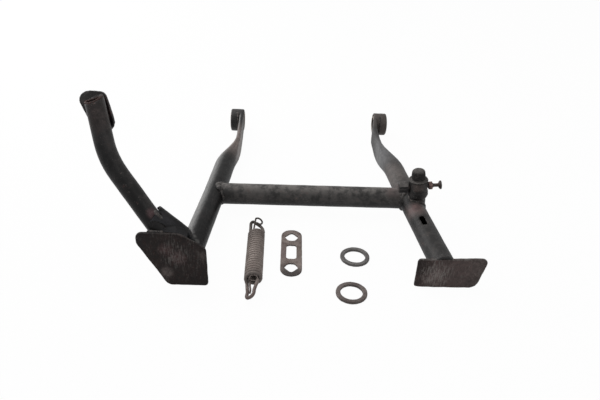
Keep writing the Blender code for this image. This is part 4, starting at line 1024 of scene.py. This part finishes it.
class STAND_OT_studio(Operator):
    """Sets up the floor, the soft lights, the white background and the camera"""

    bl_idname = "stand.studio"
    bl_label = "Studio"

    def execute(self, context):
        self.floor()
        self.background()
        self.lamps()
        self.camera()
        context.scene.view_settings.view_transform = "Standard"
        return {"FINISHED"}

    def white_share(self, tree, seen, mirrored):
        """How much plain white shows: to the camera, straight or through glass, and in a gloss."""
        path = tree.nodes.new("ShaderNodeLightPath")
        camera, glass, gloss = (Value(tree, path.outputs["Is " + ray + " Ray"])
                                for ray in ("Camera", "Transmission", "Glossy"))
        return (camera + glass) * seen + gloss * mirrored

    def floor(self):
        bpy.ops.mesh.primitive_plane_add(size=12.0)
        floor = bpy.context.object
        floor.name = "studio_floor"
        made = Finish("studio_floor_white", 0.2)
        made.shader.inputs["Base Color"].default_value = (*colours().floor, 1.0)
        made.shader.inputs["Roughness"].default_value = 0.9
        plain = Value(made.tree, made.shader.outputs[0])
        white = made.node("ShaderNodeEmission", {}, {"Color": (1, 1, 1, 1), "Strength": 1.0}, 0)
        share = self.white_share(made.tree, FLOOR_SEEN, FLOOR_MIRRORED)
        shown = made.node("ShaderNodeMixShader", {}, {0: share, 1: plain, 2: white}, 0)
        made.tree.links.new(shown.socket, made.tree.nodes["Material Output"].inputs["Surface"])
        floor.data.materials.append(made.material)

    def background(self):
        world = bpy.data.worlds.new("studio_world")
        bpy.context.scene.world = world
        world.use_nodes = True
        tree = world.node_tree
        soft = tree.nodes["Background"]
        white = tree.nodes.new("ShaderNodeBackground")
        for light, strength in ((soft, SOFT_LIGHT), (white, 1.0)):
            light.inputs["Color"].default_value = (1, 1, 1, 1)
            light.inputs["Strength"].default_value = strength
        mix = tree.nodes.new("ShaderNodeMixShader")
        share = self.white_share(tree, 1.0, BACKGROUND_MIRRORED)
        for slot, part in zip(mix.inputs, (share.socket, soft.outputs[0], white.outputs[0])):
            tree.links.new(part, slot)
        tree.links.new(mix.outputs[0], tree.nodes["World Output"].inputs["Surface"])

    def lamps(self):
        middle = Vector((0.0, -0.02, 0.03))
        for name, place, width, power in (
                ("key_softbox", (-0.5, 0.25, 1.3), 0.9, 9.0),
                ("back_softbox", (-1.1, 0.95, 0.45), 1.0, 11.0),
                ("fill_softbox", (0.6, -1.0, 1.1), 0.8, 1.5)):
            bpy.ops.object.light_add(type="AREA", location=place)
            lamp = bpy.context.object
            lamp.name = name
            lamp.data.shape = "SQUARE"
            lamp.data.size = width
            lamp.data.energy = power
            lamp.rotation_mode = "QUATERNION"
            lamp.rotation_quaternion = (middle - Vector(place)).to_track_quat("-Z", "Y")

    def camera(self):
        """The photograph's viewpoint: it looks down on the stand, a little turned and rolled."""
        pitch, roll, turn = (math.radians(a) for a in (CAMERA_PITCH, CAMERA_ROLL, CAMERA_TURN))
        ahead = Vector((0, math.cos(pitch), -math.sin(pitch)))
        right = Vector((1, 0, 0))
        down = ahead.cross(right)
        level = Matrix.Rotation(-turn, 3, "Z")
        ahead, right, down = (level @ v for v in (ahead, right * math.cos(roll) + down * math.sin(roll),
                                                  down * math.cos(roll) - right * math.sin(roll)))
        place = STAND_MIDDLE + level @ Vector(CAMERA_PLACE)
        bpy.ops.object.camera_add()
        camera = bpy.context.object
        camera.name = "photo_camera"
        rows = [(right[k], -down[k], -ahead[k], place[k]) for k in range(3)]
        camera.matrix_world = Matrix((*rows, (0, 0, 0, 1)))
        camera.data.sensor_fit = "HORIZONTAL"
        camera.data.sensor_width = CAMERA_SENSOR
        camera.data.lens = CAMERA_LENS
        bpy.context.scene.camera = camera


class STAND_PT_panel(Panel):
    """Lists the steps and the sizes and colours that they use"""

    bl_idname = "STAND_PT_panel"
    bl_label = "Centre stand"
    bl_space_type = "VIEW_3D"
    bl_region_type = "UI"
    bl_category = "Stand"

    def draw(self, context):
        for step in STEPS:
            self.layout.operator(step.bl_idname)
        for group in (context.scene.stand_sizes, context.scene.stand_colours):
            for name in group.bl_rna.properties.keys():
                if name not in ("rna_type", "name"):
                    self.layout.prop(group, name)


STEPS = (STAND_OT_paint_tubes, STAND_OT_pivot_eyes, STAND_OT_foot_plates, STAND_OT_cross_welds,
         STAND_OT_lever_parts, STAND_OT_stop_parts, STAND_OT_springs, STAND_OT_link_and_washers,
         STAND_OT_studio)
CLASSES = (StandSizes, StandColours, *STEPS, STAND_PT_panel)


def register():
    for made in CLASSES:
        bpy.utils.register_class(made)
    bpy.types.Scene.stand_sizes = PointerProperty(type=StandSizes)
    bpy.types.Scene.stand_colours = PointerProperty(type=StandColours)


def unregister():
    del bpy.types.Scene.stand_colours
    del bpy.types.Scene.stand_sizes
    for made in reversed(CLASSES):
        bpy.utils.unregister_class(made)


def main():
    register()
    bpy.ops.object.select_all(action="DESELECT")
    bpy.ops.stand.paint_tubes()
    bpy.ops.stand.pivot_eyes()
    bpy.ops.stand.foot_plates()
    bpy.ops.stand.cross_welds()
    bpy.ops.stand.lever_parts()
    bpy.ops.stand.stop_parts()
    bpy.ops.stand.springs()
    bpy.ops.stand.link_and_washers()
    bpy.ops.stand.studio()
    bpy.context.view_layer.update()


if __name__ == "__main__":
    main()
